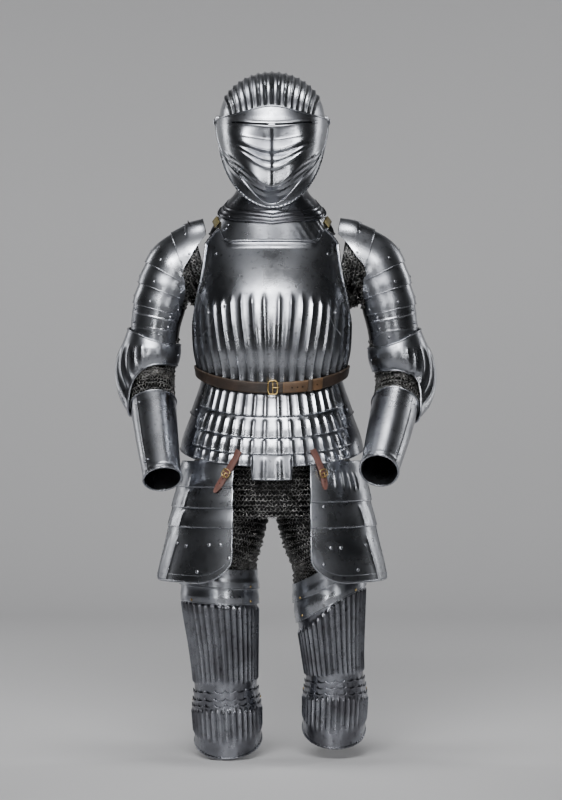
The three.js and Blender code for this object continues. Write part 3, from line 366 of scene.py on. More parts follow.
def plate(form, u, v, lift=0.0, base=None, wall=STEEL, closed=False, keep=None, material=0, **step):
    """A walled sheet over a form. u is a column's place, v the rows' places along each column, lift how far
    its outer face stands off the form, base the same for the face that its wall is measured from, and keep
    the cells that aren't cut away. Its borders are rounded."""
    v = np.broadcast_to(np.asarray(v, float), (len(u), np.shape(v)[-1]))
    u = np.broadcast_to(u[:, None], v.shape)
    lift = np.broadcast_to(np.asarray(lift, float), v.shape)
    base = lift if base is None else np.broadcast_to(np.asarray(base, float), v.shape)
    foot, normal = form(u, v), outward(form, u, v, **step)
    outer = foot + normal * lift[..., None]
    inner = foot + normal * (base - wall)[..., None]
    n, m = v.shape
    cells = n if closed else n - 1
    keep = np.ones((cells, m - 1), bool) if keep is None else keep
    points = [*outer.reshape(-1, 3), *inner.reshape(-1, 3)]
    offset = n * m
    faces = []
    middles = {}

    def rim(a, b, beyond_a, beyond_b, border):
        """The wall between the outer and the inner face along the edge from a to b."""
        if not border:
            faces.append((a, a + offset, b + offset, b))
            return
        for k, beyond in ((a, beyond_a), (b, beyond_b)):
            if k not in middles:
                middle = (points[k] + points[k + offset]) / 2
                middles[k] = len(points)
                points.append(middle + unit(points[k] - points[beyond]) * wall * 0.45)
        faces.append((a, middles[a], middles[b], b))
        faces.append((middles[a], a + offset, b + offset, middles[b]))

    for j in range(cells):
        left, right = j * m, ((j + 1) % n) * m
        for i in range(m - 1):
            if not keep[j, i]:
                continue
            a, b, c, d = left + i, left + i + 1, right + i + 1, right + i
            faces.append((a, b, c, d))
            faces.append((a + offset, d + offset, c + offset, b + offset))
            if i == 0 or not keep[j, i - 1]:
                rim(d, a, d + 1, a + 1, i == 0)
            if i == m - 2 or not keep[j, i + 1]:
                rim(b, c, b - 1, c - 1, i == m - 2)
            if (not closed and j == 0) or not keep[j - 1, i]:
                rim(a, b, d, c, not closed and j == 0)
            if (not closed and j == cells - 1) or not keep[(j + 1) % cells, i]:
                rim(c, d, b, a, not closed and j == cells - 1)
    faces = [f[::-1] for f in faces] if step.get("turn", 1) > 0 else faces
    return np.array(points), faces, material


def skin(count, sides, closed=False, turned=False):
    """The faces round count rings of points, with their ends; turned is the other way round."""
    faces = []
    for j in range(count if closed else count - 1):
        a, b = j * sides, (j + 1) % count * sides
        for k in range(sides):
            after = (k + 1) % sides
            face = (a + k, a + after, b + after, b + k)
            faces.append((face[0], *face[:0:-1]) if turned else face)
    if not closed:
        way = 1 if turned else -1
        faces += [tuple(range(sides))[::way], tuple(range((count - 1) * sides, count * sides))[::-way]]
    return faces


STRANDS = 2  # in a roped edge


def tube(path, normals, radius, sides=8, closed=False, rope=0.0, pitch=8.0):
    """A round bar along a path, roped where its surface winds round it."""
    path = np.asarray(path, float)
    if closed:
        along = unit(np.roll(path, -1, axis=0) - np.roll(path, 1, axis=0))
    else:
        along = unit(np.gradient(path, axis=0))
    side = unit(np.cross(along, normals))
    up = unit(np.cross(side, along))
    length = np.concatenate([[0], np.cumsum(np.linalg.norm(np.diff(path, axis=0), axis=1))])
    angle = np.arange(sides) * 2 * math.pi / sides
    wind = np.cos(STRANDS * angle[None, :] + 2 * math.pi * length[:, None] / pitch)
    r = np.broadcast_to(np.asarray(radius, float), length.shape)[:, None] * (1 + rope * wind)
    ring = up[:, None] * (np.cos(angle) * r)[..., None] + side[:, None] * (np.sin(angle) * r)[..., None]
    return (path[:, None] + ring).reshape(-1, 3), skin(len(path), sides, closed, turned=True), 0


def lathe(profile, centre, axis, sides, material=0):
    """A turned part: profile gives radius and height along axis from centre, from the rim to the middle."""
    axis = unit(np.asarray(axis, float))
    across = unit(np.cross(axis, [0.31, 0.52, 0.79]))
    other = np.cross(axis, across)
    angle = np.arange(sides) * 2 * math.pi / sides
    ring = across[None] * np.cos(angle)[:, None] + other[None] * np.sin(angle)[:, None]
    points = [np.asarray(centre) + ring * r + axis * h for r, h in profile]
    return np.concatenate(points), skin(len(profile), sides), material


STRAP_SECTION = ((-0.5, 0), (-0.5, 0.62), (-0.44, 1), (0, 1.12), (0.44, 1), (0.5, 0.62), (0.5, 0))


def strap(path, across, width, thickness):
    """A flat strip along a path, its back on the path. across is its width's direction."""
    path = np.asarray(path, float)
    across = np.broadcast_to(unit(np.asarray(across, float)), path.shape)
    along = unit(np.gradient(path, axis=0))
    out = unit(np.cross(along, across))
    widths = np.broadcast_to(np.asarray(width, float), len(path))
    points = [path + across * (s * widths)[:, None] + out * (h * thickness) for s, h in STRAP_SECTION]
    return np.stack(points, axis=1).reshape(-1, 3), skin(len(path), len(STRAP_SECTION)), 0


def placed(name, data):
    made = bpy.data.objects.new(name, data)
    bpy.context.scene.collection.objects.link(made)
    return made


def merged(parts):
    """The points, faces and material numbers of all the parts."""
    points, faces, numbers, start = [], [], [], 0
    for part_points, part_faces, number in parts:
        points.append(part_points)
        faces += [tuple(k + start for k in face) for face in part_faces]
        numbers += [number] * len(part_faces)
        start += len(part_points)
    return np.concatenate(points), faces, numbers


def mesh_of(name, parts, materials):
    """One object from parts, its faces turned outwards."""
    points, faces, numbers = merged(parts)
    mesh = bpy.data.meshes.new(name)
    mesh.from_pydata((points * MM).tolist(), [], faces)
    for material in materials:
        mesh.materials.append(material)
    mesh.polygons.foreach_set("material_index", numbers)
    mesh.polygons.foreach_set("use_smooth", [True] * len(faces))
    shell = bmesh.new()
    shell.from_mesh(mesh)
    bmesh.ops.recalc_face_normals(shell, faces=shell.faces)
    shell.to_mesh(mesh)
    shell.free()
    mesh.set_sharp_from_angle(angle=SHARP)
    return placed(name, mesh)


def stand_for(node, made):
    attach(made, body_of_node[node])
    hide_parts(node)


def dress(node, parts, materials):
    """A finished piece that stands for the node of the same name."""
    stand_for(node, mesh_of(f"{node}_look", parts, materials))


# MATERIALS


class Shade:
    """A node material being put together round its Principled shader."""

    def __init__(self, name, metallic, roughness):
        self.material = bpy.data.materials.new(name)
        self.material.use_nodes = True
        self.nodes = self.material.node_tree.nodes
        self.links = self.material.node_tree.links
        self.shader = self.nodes["Principled BSDF"]
        self.shader.inputs["Metallic"].default_value = metallic
        self.shader.inputs["Roughness"].default_value = roughness
        self.place = self.nodes.new("ShaderNodeTexCoord").outputs["Object"]

    def noise(self, scale, detail, stretch=(1, 1, 1)):
        mapping = self.nodes.new("ShaderNodeMapping")
        mapping.inputs["Scale"].default_value = stretch
        self.links.new(self.place, mapping.inputs["Vector"])
        texture = self.nodes.new("ShaderNodeTexNoise")
        texture.inputs["Scale"].default_value = scale
        texture.inputs["Detail"].default_value = detail
        self.links.new(mapping.outputs["Vector"], texture.inputs["Vector"])
        return texture.outputs["Fac"]

    def pointiness(self):
        return self.nodes.new("ShaderNodeNewGeometry").outputs["Pointiness"]

    def ramp(self, value, *stops):
        """Colours at places from 0 to 1."""
        node = self.nodes.new("ShaderNodeValToRGB")
        elements = node.color_ramp.elements
        while len(elements) < len(stops):
            elements.new(0.5)
        for element, (place, colour) in zip(elements, stops):
            element.position = place
            element.color = (*colour, 1)
        self.links.new(value, node.inputs["Fac"])
        return node.outputs["Color"]

    def span(self, value, low, high):
        """A noise's usual values, 0.3 to 0.7, become numbers between low and high."""
        node = self.nodes.new("ShaderNodeMapRange")
        for name, number in (("From Min", 0.3), ("From Max", 0.7), ("To Min", low), ("To Max", high)):
            node.inputs[name].default_value = number
        self.links.new(value, node.inputs["Value"])
        return node.outputs["Result"]

    def mix(self, amount, first, second, kind):
        node = self.nodes.new("ShaderNodeMix")
        node.data_type = "RGBA"
        node.blend_type = kind
        node.inputs["Factor"].default_value = amount
        self.links.new(first, node.inputs["A"])
        self.links.new(second, node.inputs["B"])
        return node.outputs["Result"]

    def bump(self, height, strength, distance, under=None):
        node = self.nodes.new("ShaderNodeBump")
        node.inputs["Strength"].default_value = strength
        node.inputs["Distance"].default_value = distance
        self.links.new(height, node.inputs["Height"])
        if under is not None:
            self.links.new(under, node.inputs["Normal"])
        return node.outputs["Normal"]

    def set(self, name, value):
        self.links.new(value, self.shader.inputs[name])


def steel_material(name, bright, dull, stain, roughness):
    """Old polished plate: bright on the crests, tarnished in the hollows, with fine scratches all ways."""
    shade = Shade(name, 1.0, roughness)
    clouds = shade.noise(16, 4)
    spots = shade.noise(95, 5)
    patina = shade.ramp(clouds, (0.34, dull), (0.62, bright))
    worn = shade.ramp(shade.pointiness(), (0.42, stain), (0.5, (1, 1, 1)))
    freckles = shade.ramp(spots, (0.28, stain), (0.42, (1, 1, 1)))
    colour = shade.mix(0.8, patina, worn, "MULTIPLY")
    shade.set("Base Color", shade.mix(0.55, colour, freckles, "MULTIPLY"))
    shade.set("Roughness", shade.span(clouds, roughness * 1.35, roughness * 0.8))
    scratches = shade.noise(420, 2, (1, 0.12, 0.12))
    other = shade.noise(380, 2, (0.12, 1, 1))
    planished = shade.bump(shade.noise(26, 1), 0.22, 0.0016)
    first = shade.bump(scratches, 0.05, 0.0006, planished)
    shade.set("Normal", shade.bump(other, 0.05, 0.0006, first))
    return shade.material


def mail_material(name, bright, dull):
    shade = Shade(name, 1.0, 0.3)
    shade.set("Base Color", shade.ramp(shade.noise(60, 3), (0.35, dull), (0.65, bright)))
    shade.set("Roughness", shade.span(shade.noise(140, 2), 0.22, 0.45))
    return shade.material


def leather_material(name, light, dark, worn):
    """Creased leather, paler where it has rubbed."""
    shade = Shade(name, 0.0, 0.55)
    grain = shade.noise(520, 4)
    clouds = shade.noise(34, 4)
    creases = shade.noise(150, 3, (0.4, 0.4, 2.2))
    colour = shade.ramp(clouds, (0.3, dark), (0.68, light))
    rubbed = shade.ramp(shade.pointiness(), (0.5, (0, 0, 0)), (0.58, worn))
    shade.set("Base Color", shade.mix(0.8, colour, rubbed, "ADD"))
    shade.set("Roughness", shade.span(grain, 0.42, 0.7))
    first = shade.bump(creases, 0.35, 0.0012)
    shade.set("Normal", shade.bump(grain, 0.3, 0.0005, first))
    return shade.material


def brass_material(name, bright, dull):
    shade = Shade(name, 1.0, 0.32)
    shade.set("Base Color", shade.ramp(shade.noise(70, 4), (0.35, dull), (0.62, bright)))
    shade.set("Roughness", shade.span(shade.noise(200, 3), 0.24, 0.46))
    return shade.material


POLISHED = steel_material("steel", (0.46, 0.475, 0.51), (0.27, 0.28, 0.31), (0.2, 0.19, 0.18), 0.27)
# The next steel is the one above painted darker: painted shade, worn by the collar, backplate, culet, cuisses
# and knee plates.
SHADED_STEEL = steel_material("dark_steel", (0.27, 0.28, 0.31), (0.12, 0.12, 0.135), (0.16, 0.15, 0.14), 0.27)
RINGS = mail_material("mail", (0.36, 0.355, 0.35), (0.1, 0.098, 0.095))
# The next material is near-black: painted shade seen between the mail's rings and inside the holes of the
# plates and leather.
PAINTED_SHADE = mail_material("mail_shadow", (0.03, 0.03, 0.03), (0.012, 0.012, 0.012))
LEATHER_DARK, LEATHER_OLIVE, LEATHER_TAN, LEATHER_ROSE = (leather_material(*colours) for colours in (
    ("leather", (0.032, 0.019, 0.013), (0.012, 0.008, 0.006), (0.035, 0.024, 0.014)),
    ("leather_olive", (0.12, 0.1, 0.035), (0.05, 0.04, 0.018), (0.05, 0.04, 0.02)),
    ("leather_tan", (0.13, 0.068, 0.03), (0.055, 0.03, 0.015), (0.05, 0.035, 0.02)),
    ("leather_rose", (0.14, 0.055, 0.046), (0.06, 0.024, 0.02), (0.07, 0.04, 0.03)),
))
BRASS = brass_material("brass", (0.62, 0.46, 0.2), (0.3, 0.2, 0.08))
STEEL_SET = (POLISHED, BRASS)
# The darker set carries the painted shade of the steel.
SHADED_STEEL_SET = (SHADED_STEEL, BRASS)


# DETAILS THAT LIE ON A PART

CAMERA = np.array([18.0, -5000.0, -350.0])  # where the camera stands: rivets are set out in the front view


def seen(parts, spots):
    """The points of a piece, each with its outward direction, that show at places in the front view. A place
    beside the piece is left out."""
    points, faces, _ = merged(parts)
    tree = BVHTree.FromPolygons(points.tolist(), faces)
    hits = []
    for x, z in spots:
        ray = np.array([x, 0.0, z]) - CAMERA
        point, normal, _, _ = tree.ray_cast(Vector(CAMERA), Vector(unit(ray)))
        if point is not None:
            normal = np.array(normal)
            hits.append((np.array(point), normal if normal @ ray < 0 else -normal))
    return hits


RIVET_HEIGHT = 1.9
RIVET_DOME = ((1, 0.3), (0.86, 0.62), (0.52, 0.93), (0.12, 1))  # shares of its radius and height


def rivet(point, normal, radius=3.2, material=0):
    """A domed rivet."""
    dome = [(radius * across, RIVET_HEIGHT * high) for across, high in RIVET_DOME]
    return lathe([(radius, -0.4), *dome], point, normal, 14, material)


def rivets(parts, spots, radius=3.2):
    """Rivets on a piece, at places in the front view."""
    return [rivet(*hit, radius) for hit in seen(parts, spots)]


def stud(form, u, v, lift, radius=3.2, material=0, **step):
    """A rivet at a place of a form."""
    normal = outward(form, u, v, **step)
    return rivet(form(u, v) + normal * lift, normal, radius, material)


def bead(parts, x, z, radius):
    """A raised line that follows a piece along places in the front view."""
    places, at = range(len(x)), steps(0, len(x) - 1, 69)
    hits = seen(parts, zip(np.interp(at, places, x), np.interp(at, places, z)))
    return tube(*(np.array(values) for values in zip(*hits)), radius, 6)


def edge(form, u, v, lift, radius, rope=0.0, closed=False, pitch=8.0, **step):
    """A turned or roped bar along a line of a form."""
    u, v = np.broadcast_arrays(np.asarray(u, float), np.asarray(v, float))
    normal = outward(form, u, v, **step)
    path = form(u, v) + normal * np.broadcast_to(np.asarray(lift, float), u.shape)[..., None]
    return tube(path, normal, radius, closed=closed, rope=rope, pitch=pitch)


# HELMET


HELMET_STEP = {"du": 0.5, "dv": 0.5}


def washers(half):
    """The round ends by which a helmet part hangs on its pivots."""
    return [lathe([(13, 0), (13, STEEL), (4, STEEL)], (side * half, 0, PIVOT_Z), (side, 0, 0), 32)
            for side in SIDES.values()]


def skull():
    form = helmet_form(SKULL_HALF, SKULL)
    brow, nape, cheek = -6, 233, 302  # angles at which it ends, round the pivots
    spread, count, height = 64, 17, 3.4  # its flutes

    def foot(u):
        return lerp(nape, cheek, smooth(np.abs(u), 24, 60))

    u = arc(-FACE_END, FACE_END, 60, (-spread, spread, 14 * count))
    v = lerp(brow, foot(u)[:, None], steps(0, 1, 84)[None])
    fan = u[:, None] / lerp(0.84, 1, smooth(v, 0, 55))  # the flutes draw together at the brow
    fluted = np.where(np.abs(fan) < spread, ridge((fan + spread) / (2 * spread) * count), 0)
    parts = [plate(form, u, v, height * fluted * window(v, brow, 20, 186, 214), 0, **HELMET_STEP)]
    rim = steps(-86, 86, 150)
    parts.append(edge(form, rim, foot(rim), 0.2, 2.2, rope=0.16, pitch=9, **HELMET_STEP))
    parts += washers(SKULL_HALF - STEEL - 0.6)
    dress("helmet_skull", parts, STEEL_SET)


def visor():
    place = np.arange(len(VISOR["up"]), dtype=float)
    fine = steps(0, len(place) - 1, 9 * (len(place) - 1))
    ahead, up = np.interp(fine, place, VISOR["ahead"]), np.interp(fine, place, VISOR["up"])
    for _ in range(2):
        ahead[1:-1] = np.convolve(ahead, (0.25, 0.5, 0.25), "valid")
    for border in (SIGHT["high"], SIGHT["low"]):
        nearest = np.argmin(np.abs(up - border))
        ahead[nearest], up[nearest] = np.interp(-border, -up, ahead), border
    angle, radius = np.degrees(np.arctan2(up, ahead)), np.hypot(up, ahead)

    def edges(u):
        """What share of the middle's angles, above and below, the face has at each place across."""
        share = np.abs(sin(u))
        brow = lerp(VISOR_EDGES["brow"], VISOR_EDGES["temple"], smooth(share, 0, 0.8))
        foot = lerp(VISOR_EDGES["chin"], VISOR_EDGES["jaw"], smooth(share, 0, 0.66))
        return brow / angle[0], foot / angle[-1]

    def form(u, v):
        u, v = np.broadcast_arrays(u, v)
        above, below = edges(u)
        own = v / np.where(v > 0, above, below)
        side = lerp(VISOR_SIDE["above"], VISOR_SIDE["below"], smooth(-v, -16, 46))
        r = lerp(np.interp(-own, -angle, radius), side, smooth(np.abs(sin(u)) / VISOR_SIDE["reach"], 0.1, 1))
        return about_pivots(VISOR_HALF, r, u, v)

    u = arc(-FACE_END, FACE_END, 80, (-62, 62, 190), (-3, 3, 16))
    share = np.abs(sin(u))
    above, below = edges(u)
    v = angle[None] * np.where(angle[None] > 0, above[:, None], below[:, None])
    own = angle[None] + 0 * v
    keel = 2.4 * crease(u[:, None], 0, 1.8) * window(-own, 9, 13, 44, 47)
    high, low = np.degrees(np.arctan2((SIGHT["high"], SIGHT["low"]), SIGHT["ahead"]))
    lip = 1.6 * line(own, low - 0.8, 0.7) + 1.3 * line(own, high + 0.8, 0.7)
    lip = lip * (1 - smooth(share, 0.74, 0.86))[:, None]
    flutes = 2.0 * ridge((-own - 44) / 5.2 - np.abs(u[:, None]) / 24) * window(-own, 44.5, 46, 56, 58)
    flutes = flutes * window(np.abs(u), 3, 9, 46, 62)[:, None]
    x = VISOR_HALF * np.abs(sin((u[:-1] + u[1:]) / 2))
    slot = (up[:-1] <= SIGHT["high"]) & (up[1:] >= SIGHT["low"])
    keep = ~(slot[None] & ((x > SIGHT["from"]) & (x < SIGHT["to"]))[:, None])
    parts = [plate(form, u, v, keel + lip + flutes, 0, keep=keep, du=0.4, dv=0.2)]
    parts.append(edge(form, u, v[:, -1], 0.4, 2.0, du=0.5, dv=0.2))
    parts.append(edge(form, u, v[:, 0], 0.4, 1.7, du=0.5, dv=0.2))
    parts += washers(VISOR_HALF - STEEL - 0.5)
    peg, normal = seen(parts[:1], [VISOR_PEG])[0]
    bent = [peg, peg + normal * 5, peg + normal * 8 + [0, 0, 5]]
    parts.append(tube(bent, [0.3, 0.9, 0.1], [2.2, 2.0, 2.6], 10))
    dress("visor", parts, STEEL_SET)


def bevor():
    form = helmet_form(BEVOR_HALF, BEVOR)
    low, high = BEVOR["angle"][0], BEVOR["angle"][-1]
    u = steps(-FACE_END, FACE_END, 150)
    v = steps(low, high, 24)
    lines = 0.9 * (line(v, -56.2, 0.42) + line(v, -58.4, 0.42))
    parts = [plate(form, u, v, lines, 0, **HELMET_STEP)]
    parts.append(edge(form, steps(-84, 84, 260), low + 0.2, 0.2, 2.1, rope=0.15, **HELMET_STEP))
    parts += washers(BEVOR_HALF - STEEL - 0.4)
    dress("bevor", parts, STEEL_SET)


def pivot_screw(name, side):
    """A domed screw head with a slot, over a turned washer."""
    head = VISOR_HALF + 0.4
    centre, axis = np.array([side * head, 0, PIVOT_Z]), np.array([side, 0, 0])
    dome = [(8.5, 0), (8.5, 0.9), (7.6, 1.5), (7.2, 2.2), (6.2, 3.6), (4.4, 4.8), (2.2, 5.3), (0.3, 5.4)]
    shank = lathe([(3.5, SKULL_HALF - 6 - head), (3.5, 0.1)], centre, axis, 24)
    bar = strap([centre + axis * 4.9 + [0, 0, -4], centre + axis * 5.2, centre + axis * 4.9 + [0, 0, 4]],
                (0, 1, 0), 1.4, 0.7)
    dress(name, [lathe(dome, centre, axis, 40), shank, bar], STEEL_SET)


skull()
visor()
bevor()
for which, sign in SIDES.items():
    pivot_screw(f"visor_pivot_{which}", sign)


# NECK


def collar():
    form = ring_form(COLLAR, 2)
    u = steps(-180, 180, 200)[:-1]
    top, foot = (column(rows, "z", "round")(np.abs(u)) for rows in (COLLAR_TOP, COLLAR_FOOT))
    t = steps(0, 1, 44)
    v = lerp(top[:, None], foot[:, None], t)
    lines = 1.5 * sum(line(t, at, 0.016) for at in COLLAR_LINES)
    parts = [plate(form, u, v, lines, 0, closed=True)]
    for places, radius, rope in ((top, 1.8, 0), (foot, 2.0, 0.14)):
        parts.append(edge(form, u, places, 0.3, radius, rope=rope, closed=True))
    parts += rivets(parts[:1], COLLAR_RIVETS)
    dress("neck_collar", parts, SHADED_STEEL_SET)


def gorget(name, start, end):
    form = ring_form(GORGET, 2)
    u = steps(start, end, 110)
    reach = np.abs(sin(u))
    top, foot = lerp(*GORGET_TOP, smooth(reach, 0.2, 1)), lerp(*GORGET_FOOT, smooth(reach, 0.6, 1))
    v = lerp(top[:, None], foot[:, None], steps(0, 1, 26))
    front = name == "gorget_front"
    slanted = ridge(u[:, None] / 7.5 + v / 30) * smooth(u, 18, 34)[:, None] * smooth(-v, -20, -4)
    parts = [plate(form, u, v, 1.3 * slanted * front, 0)]
    parts.append(edge(form, u, foot, 0.2, 1.7))
    if front:
        parts += rivets(parts[:1], GORGET_RIVETS, 2.6)
    dress(name, parts, STEEL_SET)


def shoulder_strap(name, side):
    slope, width = 0.9, 15
    across = (math.cos(slope), 0, -side * math.sin(slope))
    way = stack(side * SHOULDER_STRAP["x"], SHOULDER_STRAP["y"], SHOULDER_STRAP["z"])
    dress(name, [strap(curve(way, 24), across, width, LEATHER)], (LEATHER_OLIVE,))


collar()
gorget("gorget_front", -88, 88)
gorget("gorget_back", 88.5, 271.5)
for which, sign in SIDES.items():
    shoulder_strap(f"shoulder_strap_{which}", sign)


# TRUNK


def breastplate():
    def top(away):
        return np.interp(away, BREAST_TOP["across"], BREAST_TOP["z"])

    side, foot, start = BREAST["side"], BREAST["foot"], BREAST["top"]

    def form(u, v):
        narrow = BREAST["narrowing"] * smooth(-v, -start, -foot) * (1 - np.abs(u) / side)
        return trunk(u * (1 - narrow), v)

    u = arc(-side, side, 40, (-side, side, 12 * BREAST["flutes"]))
    away = np.abs(u)
    high, low = top(away), foot - dip(u)
    t = np.unique(np.concatenate([steps(0, 0.08, 8), steps(0.08, 1, 70)]))
    v = lerp(high[:, None], low[:, None], t)
    begin = (start - BREAST["droop"] * (away / side) ** 2)[:, None]
    place = (u[:, None] + side) / (2 * side) * BREAST["flutes"]
    rise = smooth(-v, -begin, -begin + BREAST["run_out"])
    rim = BREAST["neck"] * smooth(v, -52, -43) * (1 - smooth(away, 30, 38))[:, None]
    parts = [plate(form, u, v, BREAST["height"] * ridge(place, *PINCHED) * rise + rim, 0, du=0.5)]
    neck_u = steps(-38, 38, 160)
    reach = np.abs(neck_u)
    parts.append(edge(form, neck_u, top(reach), 4.6 * (1 - smooth(reach, 30, 38)) + 0.8, 3.1))
    for sign in SIDES.values():
        arm_u = sign * steps(47, 87, 260)
        parts.append(edge(form, arm_u, top(np.abs(arm_u)), 0.8, 2.4, rope=0.12, pitch=9))
        parts.append(bead(parts[:1], sign * GUSSET["x"], GUSSET["z"], 1.1))
        parts += rivets(parts[:1], [(sign * x, z) for x, z in BREAST_RIVETS], 3.0)
    for hit in seen(parts[:1], BREAST_HOLES):
        parts.append(lathe([(4.6, -0.2), (4.6, 0.5), (3.6, 0.55), (3.3, 0.1), (3.2, -0.1)], *hit, 28))
        # The hole's floor is a near-black disc: painted shade inside the hole.
        parts.append(lathe([(3.3, 0.0), (3.2, 0.12), (0.3, 0.12)], *hit, 24, material=2))
    dress("breastplate", parts, (POLISHED, BRASS, PAINTED_SHADE))


def backplate():
    u = steps(88.3, 271.7, 200)
    high = np.interp(np.abs(u - 180), BACK_TOP["across"], BACK_TOP["z"])
    v = lerp(high[:, None], BREAST["foot"], steps(0, 1, 60))
    away = np.abs(u - 180)[:, None]
    spread = ridge((u[:, None] - 90) / 180 * 12) * smooth(-v, 150, 214) * (1 - smooth(away, 62, 80))
    parts = [plate(trunk, u, v, 1.8 * spread, 0)]
    parts.append(edge(trunk, u[6:-6], high[6:-6], 0.3, 2.2, rope=0.12, pitch=9))
    parts += [stud(trunk, at, z, 0.2) for at in (128, 232) for z in (-70, -130)]
    dress("backplate", parts, SHADED_STEEL_SET)


def belt_line(u, v):
    return trunk(u, v - dip(u))


def belt():
    """The waist belt: its end runs on through the buckle, with holes, and under a keeper."""
    half = BELT["width"] / 2
    rows = BELT["z"] + half * np.array([1, 0.9, 0.78, 0.5, 0, -0.5, -0.78, -0.9, -1])
    crown = np.array([-0.8, -0.1, 0, 0.1, 0.15, 0.1, 0, -0.1, -0.8])
    proud = BELT["proud"] + LEATHER

    def strip(u, lift, material, closed=False):
        height = lift + crown + 0.25 * sin(u[:, None] * 11) * np.sin(rows * 0.5)
        return plate(belt_line, u, rows, height, lift, LEATHER, closed, material=material)

    parts = [strip(steps(-180, 180, 260)[:-1], proud, 0, True)]
    tip_u = steps(BELT["tip_from"], BELT["tip_to"], 70)
    parts.append(strip(tip_u, proud + LEATHER + 0.1, 1))
    for u in BELT["holes"]:
        normal = outward(belt_line, u, BELT["z"])
        centre = belt_line(u, BELT["z"]) + normal * (proud + LEATHER + 0.3)
        # Each hole is a near-black disc: painted shade inside the hole.
        parts.append(lathe([(1.7, -0.4), (1.6, 0.06), (0.2, 0.08)], centre, normal, 16, material=2))
    keeper = (BELT["keeper"], BELT["z"] + (half + 1.6) * np.cos(steps(0, math.pi, 12)))
    path = belt_line(*keeper) + outward(belt_line, *keeper) * (proud + 2 * LEATHER + 0.4)
    parts.append(strap(path, (1, 0, 0), 9, 1.6))
    dress("waist_belt", parts, (LEATHER_DARK, LEATHER_TAN, PAINTED_SHADE))


def buckle(centre, out, along, across, length, breadth, bar):
    """A rounded frame with a pin across its middle and a tongue."""
    turn = steps(0, 2 * math.pi, 64)[:-1]
    power = 0.55
    x = np.sign(np.cos(turn)) * np.abs(np.cos(turn)) ** power * (length / 2 - bar / 2)
    y = np.sign(np.sin(turn)) * np.abs(np.sin(turn)) ** power * (breadth / 2 - bar / 2)
    path = centre + along * x[:, None] + across * y[:, None]
    parts = [tube(path, np.broadcast_to(out, path.shape), bar / 2, 12, True)]
    pin = centre + across * steps(-breadth / 2 + bar / 2, breadth / 2 - bar / 2, 6)[:, None] - out * 0.2
    parts.append(tube(pin, np.broadcast_to(out, pin.shape), bar * 0.3, 8))
    tongue = np.array([centre + along * (s * length / 2) + out * h for s, h in
                       ((-0.02, 0.4), (0.3, 1.3), (0.7, 1.6), (1.02, 1.2), (1.12, 0.4))])
    parts.append(tube(curve(tongue, 14), np.broadcast_to(out, (15, 3)), steps(1.25, 0.7, 14), 8))
    return parts


def belt_buckle():
    low, high = (np.array(corner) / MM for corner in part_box("belt_buckle"))
    centre = (low + high) / 2
    out, along, across = np.array([0, -1.0, 0]), np.array([1.0, 0, 0]), np.array([0, 0, 1.0])
    parts = buckle(centre, out, along, across, high[0] - low[0], high[2] - low[2], 3.4)
    dress("belt_buckle", parts, (BRASS,))


breastplate()
backplate()
belt()
belt_buckle()


# FAULD, CULET AND OTHER LAMES


TRIM = slice(2, -2)  # an edge's bar ends just short of the plate's corners


def lame_rows(start, end, lap):
    """The places along a lame and how far it stands off there, as a share of a full step: flat where its
    neighbour covers it."""
    start, end = start[:, None], end[:, None]
    middle = steps(0, 1, 18)
    inner = lerp(start + lap, end - lap, middle)
    rows = np.concatenate([start, start + lap / 2, inner, (end - lap + end) / 2, end], axis=1)
    share = np.concatenate([[0, 0], smooth(middle, 0, 0.92), [1, 1]])
    return rows, np.broadcast_to(share, rows.shape)


def lame(form, u, start, end, lap, relief=None, inset=0.0, bar=1.1, rope=0.0, **step):
    """A lame with its lower border turned. relief(u, v, share) is what stands out of it."""
    start, end = start + 0 * u, end + 0 * u
    rows, share = lame_rows(start, end, lap)
    base = share * LAME_STEP - inset
    lift = base + relief(u[:, None], rows, share) if relief else base
    border = edge(form, u[TRIM], end[TRIM], lift[TRIM, -1] - 0.2, bar, rope=rope, pitch=7, **step)
    return [plate(form, u, rows, lift, base, **step), border]


def fauld(index):
    edges, flap = FAULD["edges"], FAULD["flap"]
    spread, half = FAULD["reach"][0], FAULD["reach"][index]
    lowest = index == len(edges) - 2
    lap = LAP * (0.6 if lowest else 1)
    beside_flap = ((-11, -8, 12), (8, 11, 12)) if lowest else ()
    u = arc(-half, half, 40, (-half, half, 12 * FAULD["flutes"]), *beside_flap)
    rise = FAULD["rise"] * smooth(np.abs(u), flap, flap + 1.2) * lowest

    def relief(at_u, v, share):
        fluted = ridge((at_u + spread) / (2 * spread) * FAULD["flutes"], *PINCHED)
        return FAULD["height"] * fluted * smooth(share, 0.02, 0.3) * (1 - smooth(np.abs(at_u), 50, 60))

    start = edges[index] + (lap if index else 0)
    parts = lame(hips, u, start, edges[index + 1] + rise, -lap, relief, bar=1.9, rope=0.2, du=0.5)
    if index:
        spots = [(side * (half - 4), edges[index + 1] + 16 + rise[0]) for side in SIDES.values()]
        parts += [stud(hips, *spot, LAME_STEP * 0.9) for spot in spots]
    dress(f"fauld_lame_{index + 1}", parts, STEEL_SET)


def culet(index):
    edges = CULET["edges"]
    u = steps(CULET["start"], 360 - CULET["start"], 200)
    start = edges[index] + (LAP if index else 0)
    parts = lame(hips, u, start, edges[index + 1], -LAP, inset=CULET["inset"], bar=1.8, rope=0.18)
    parts += [stud(hips, at, edges[index + 1] + 12, LAME_STEP - CULET["inset"]) for at in (70, 125, 235, 290)]
    dress(f"culet_lame_{index + 1}", parts, SHADED_STEEL_SET)


for lame_index in range(4):
    fauld(lame_index)
for lame_index in range(2):
    culet(lame_index)


# ARMS


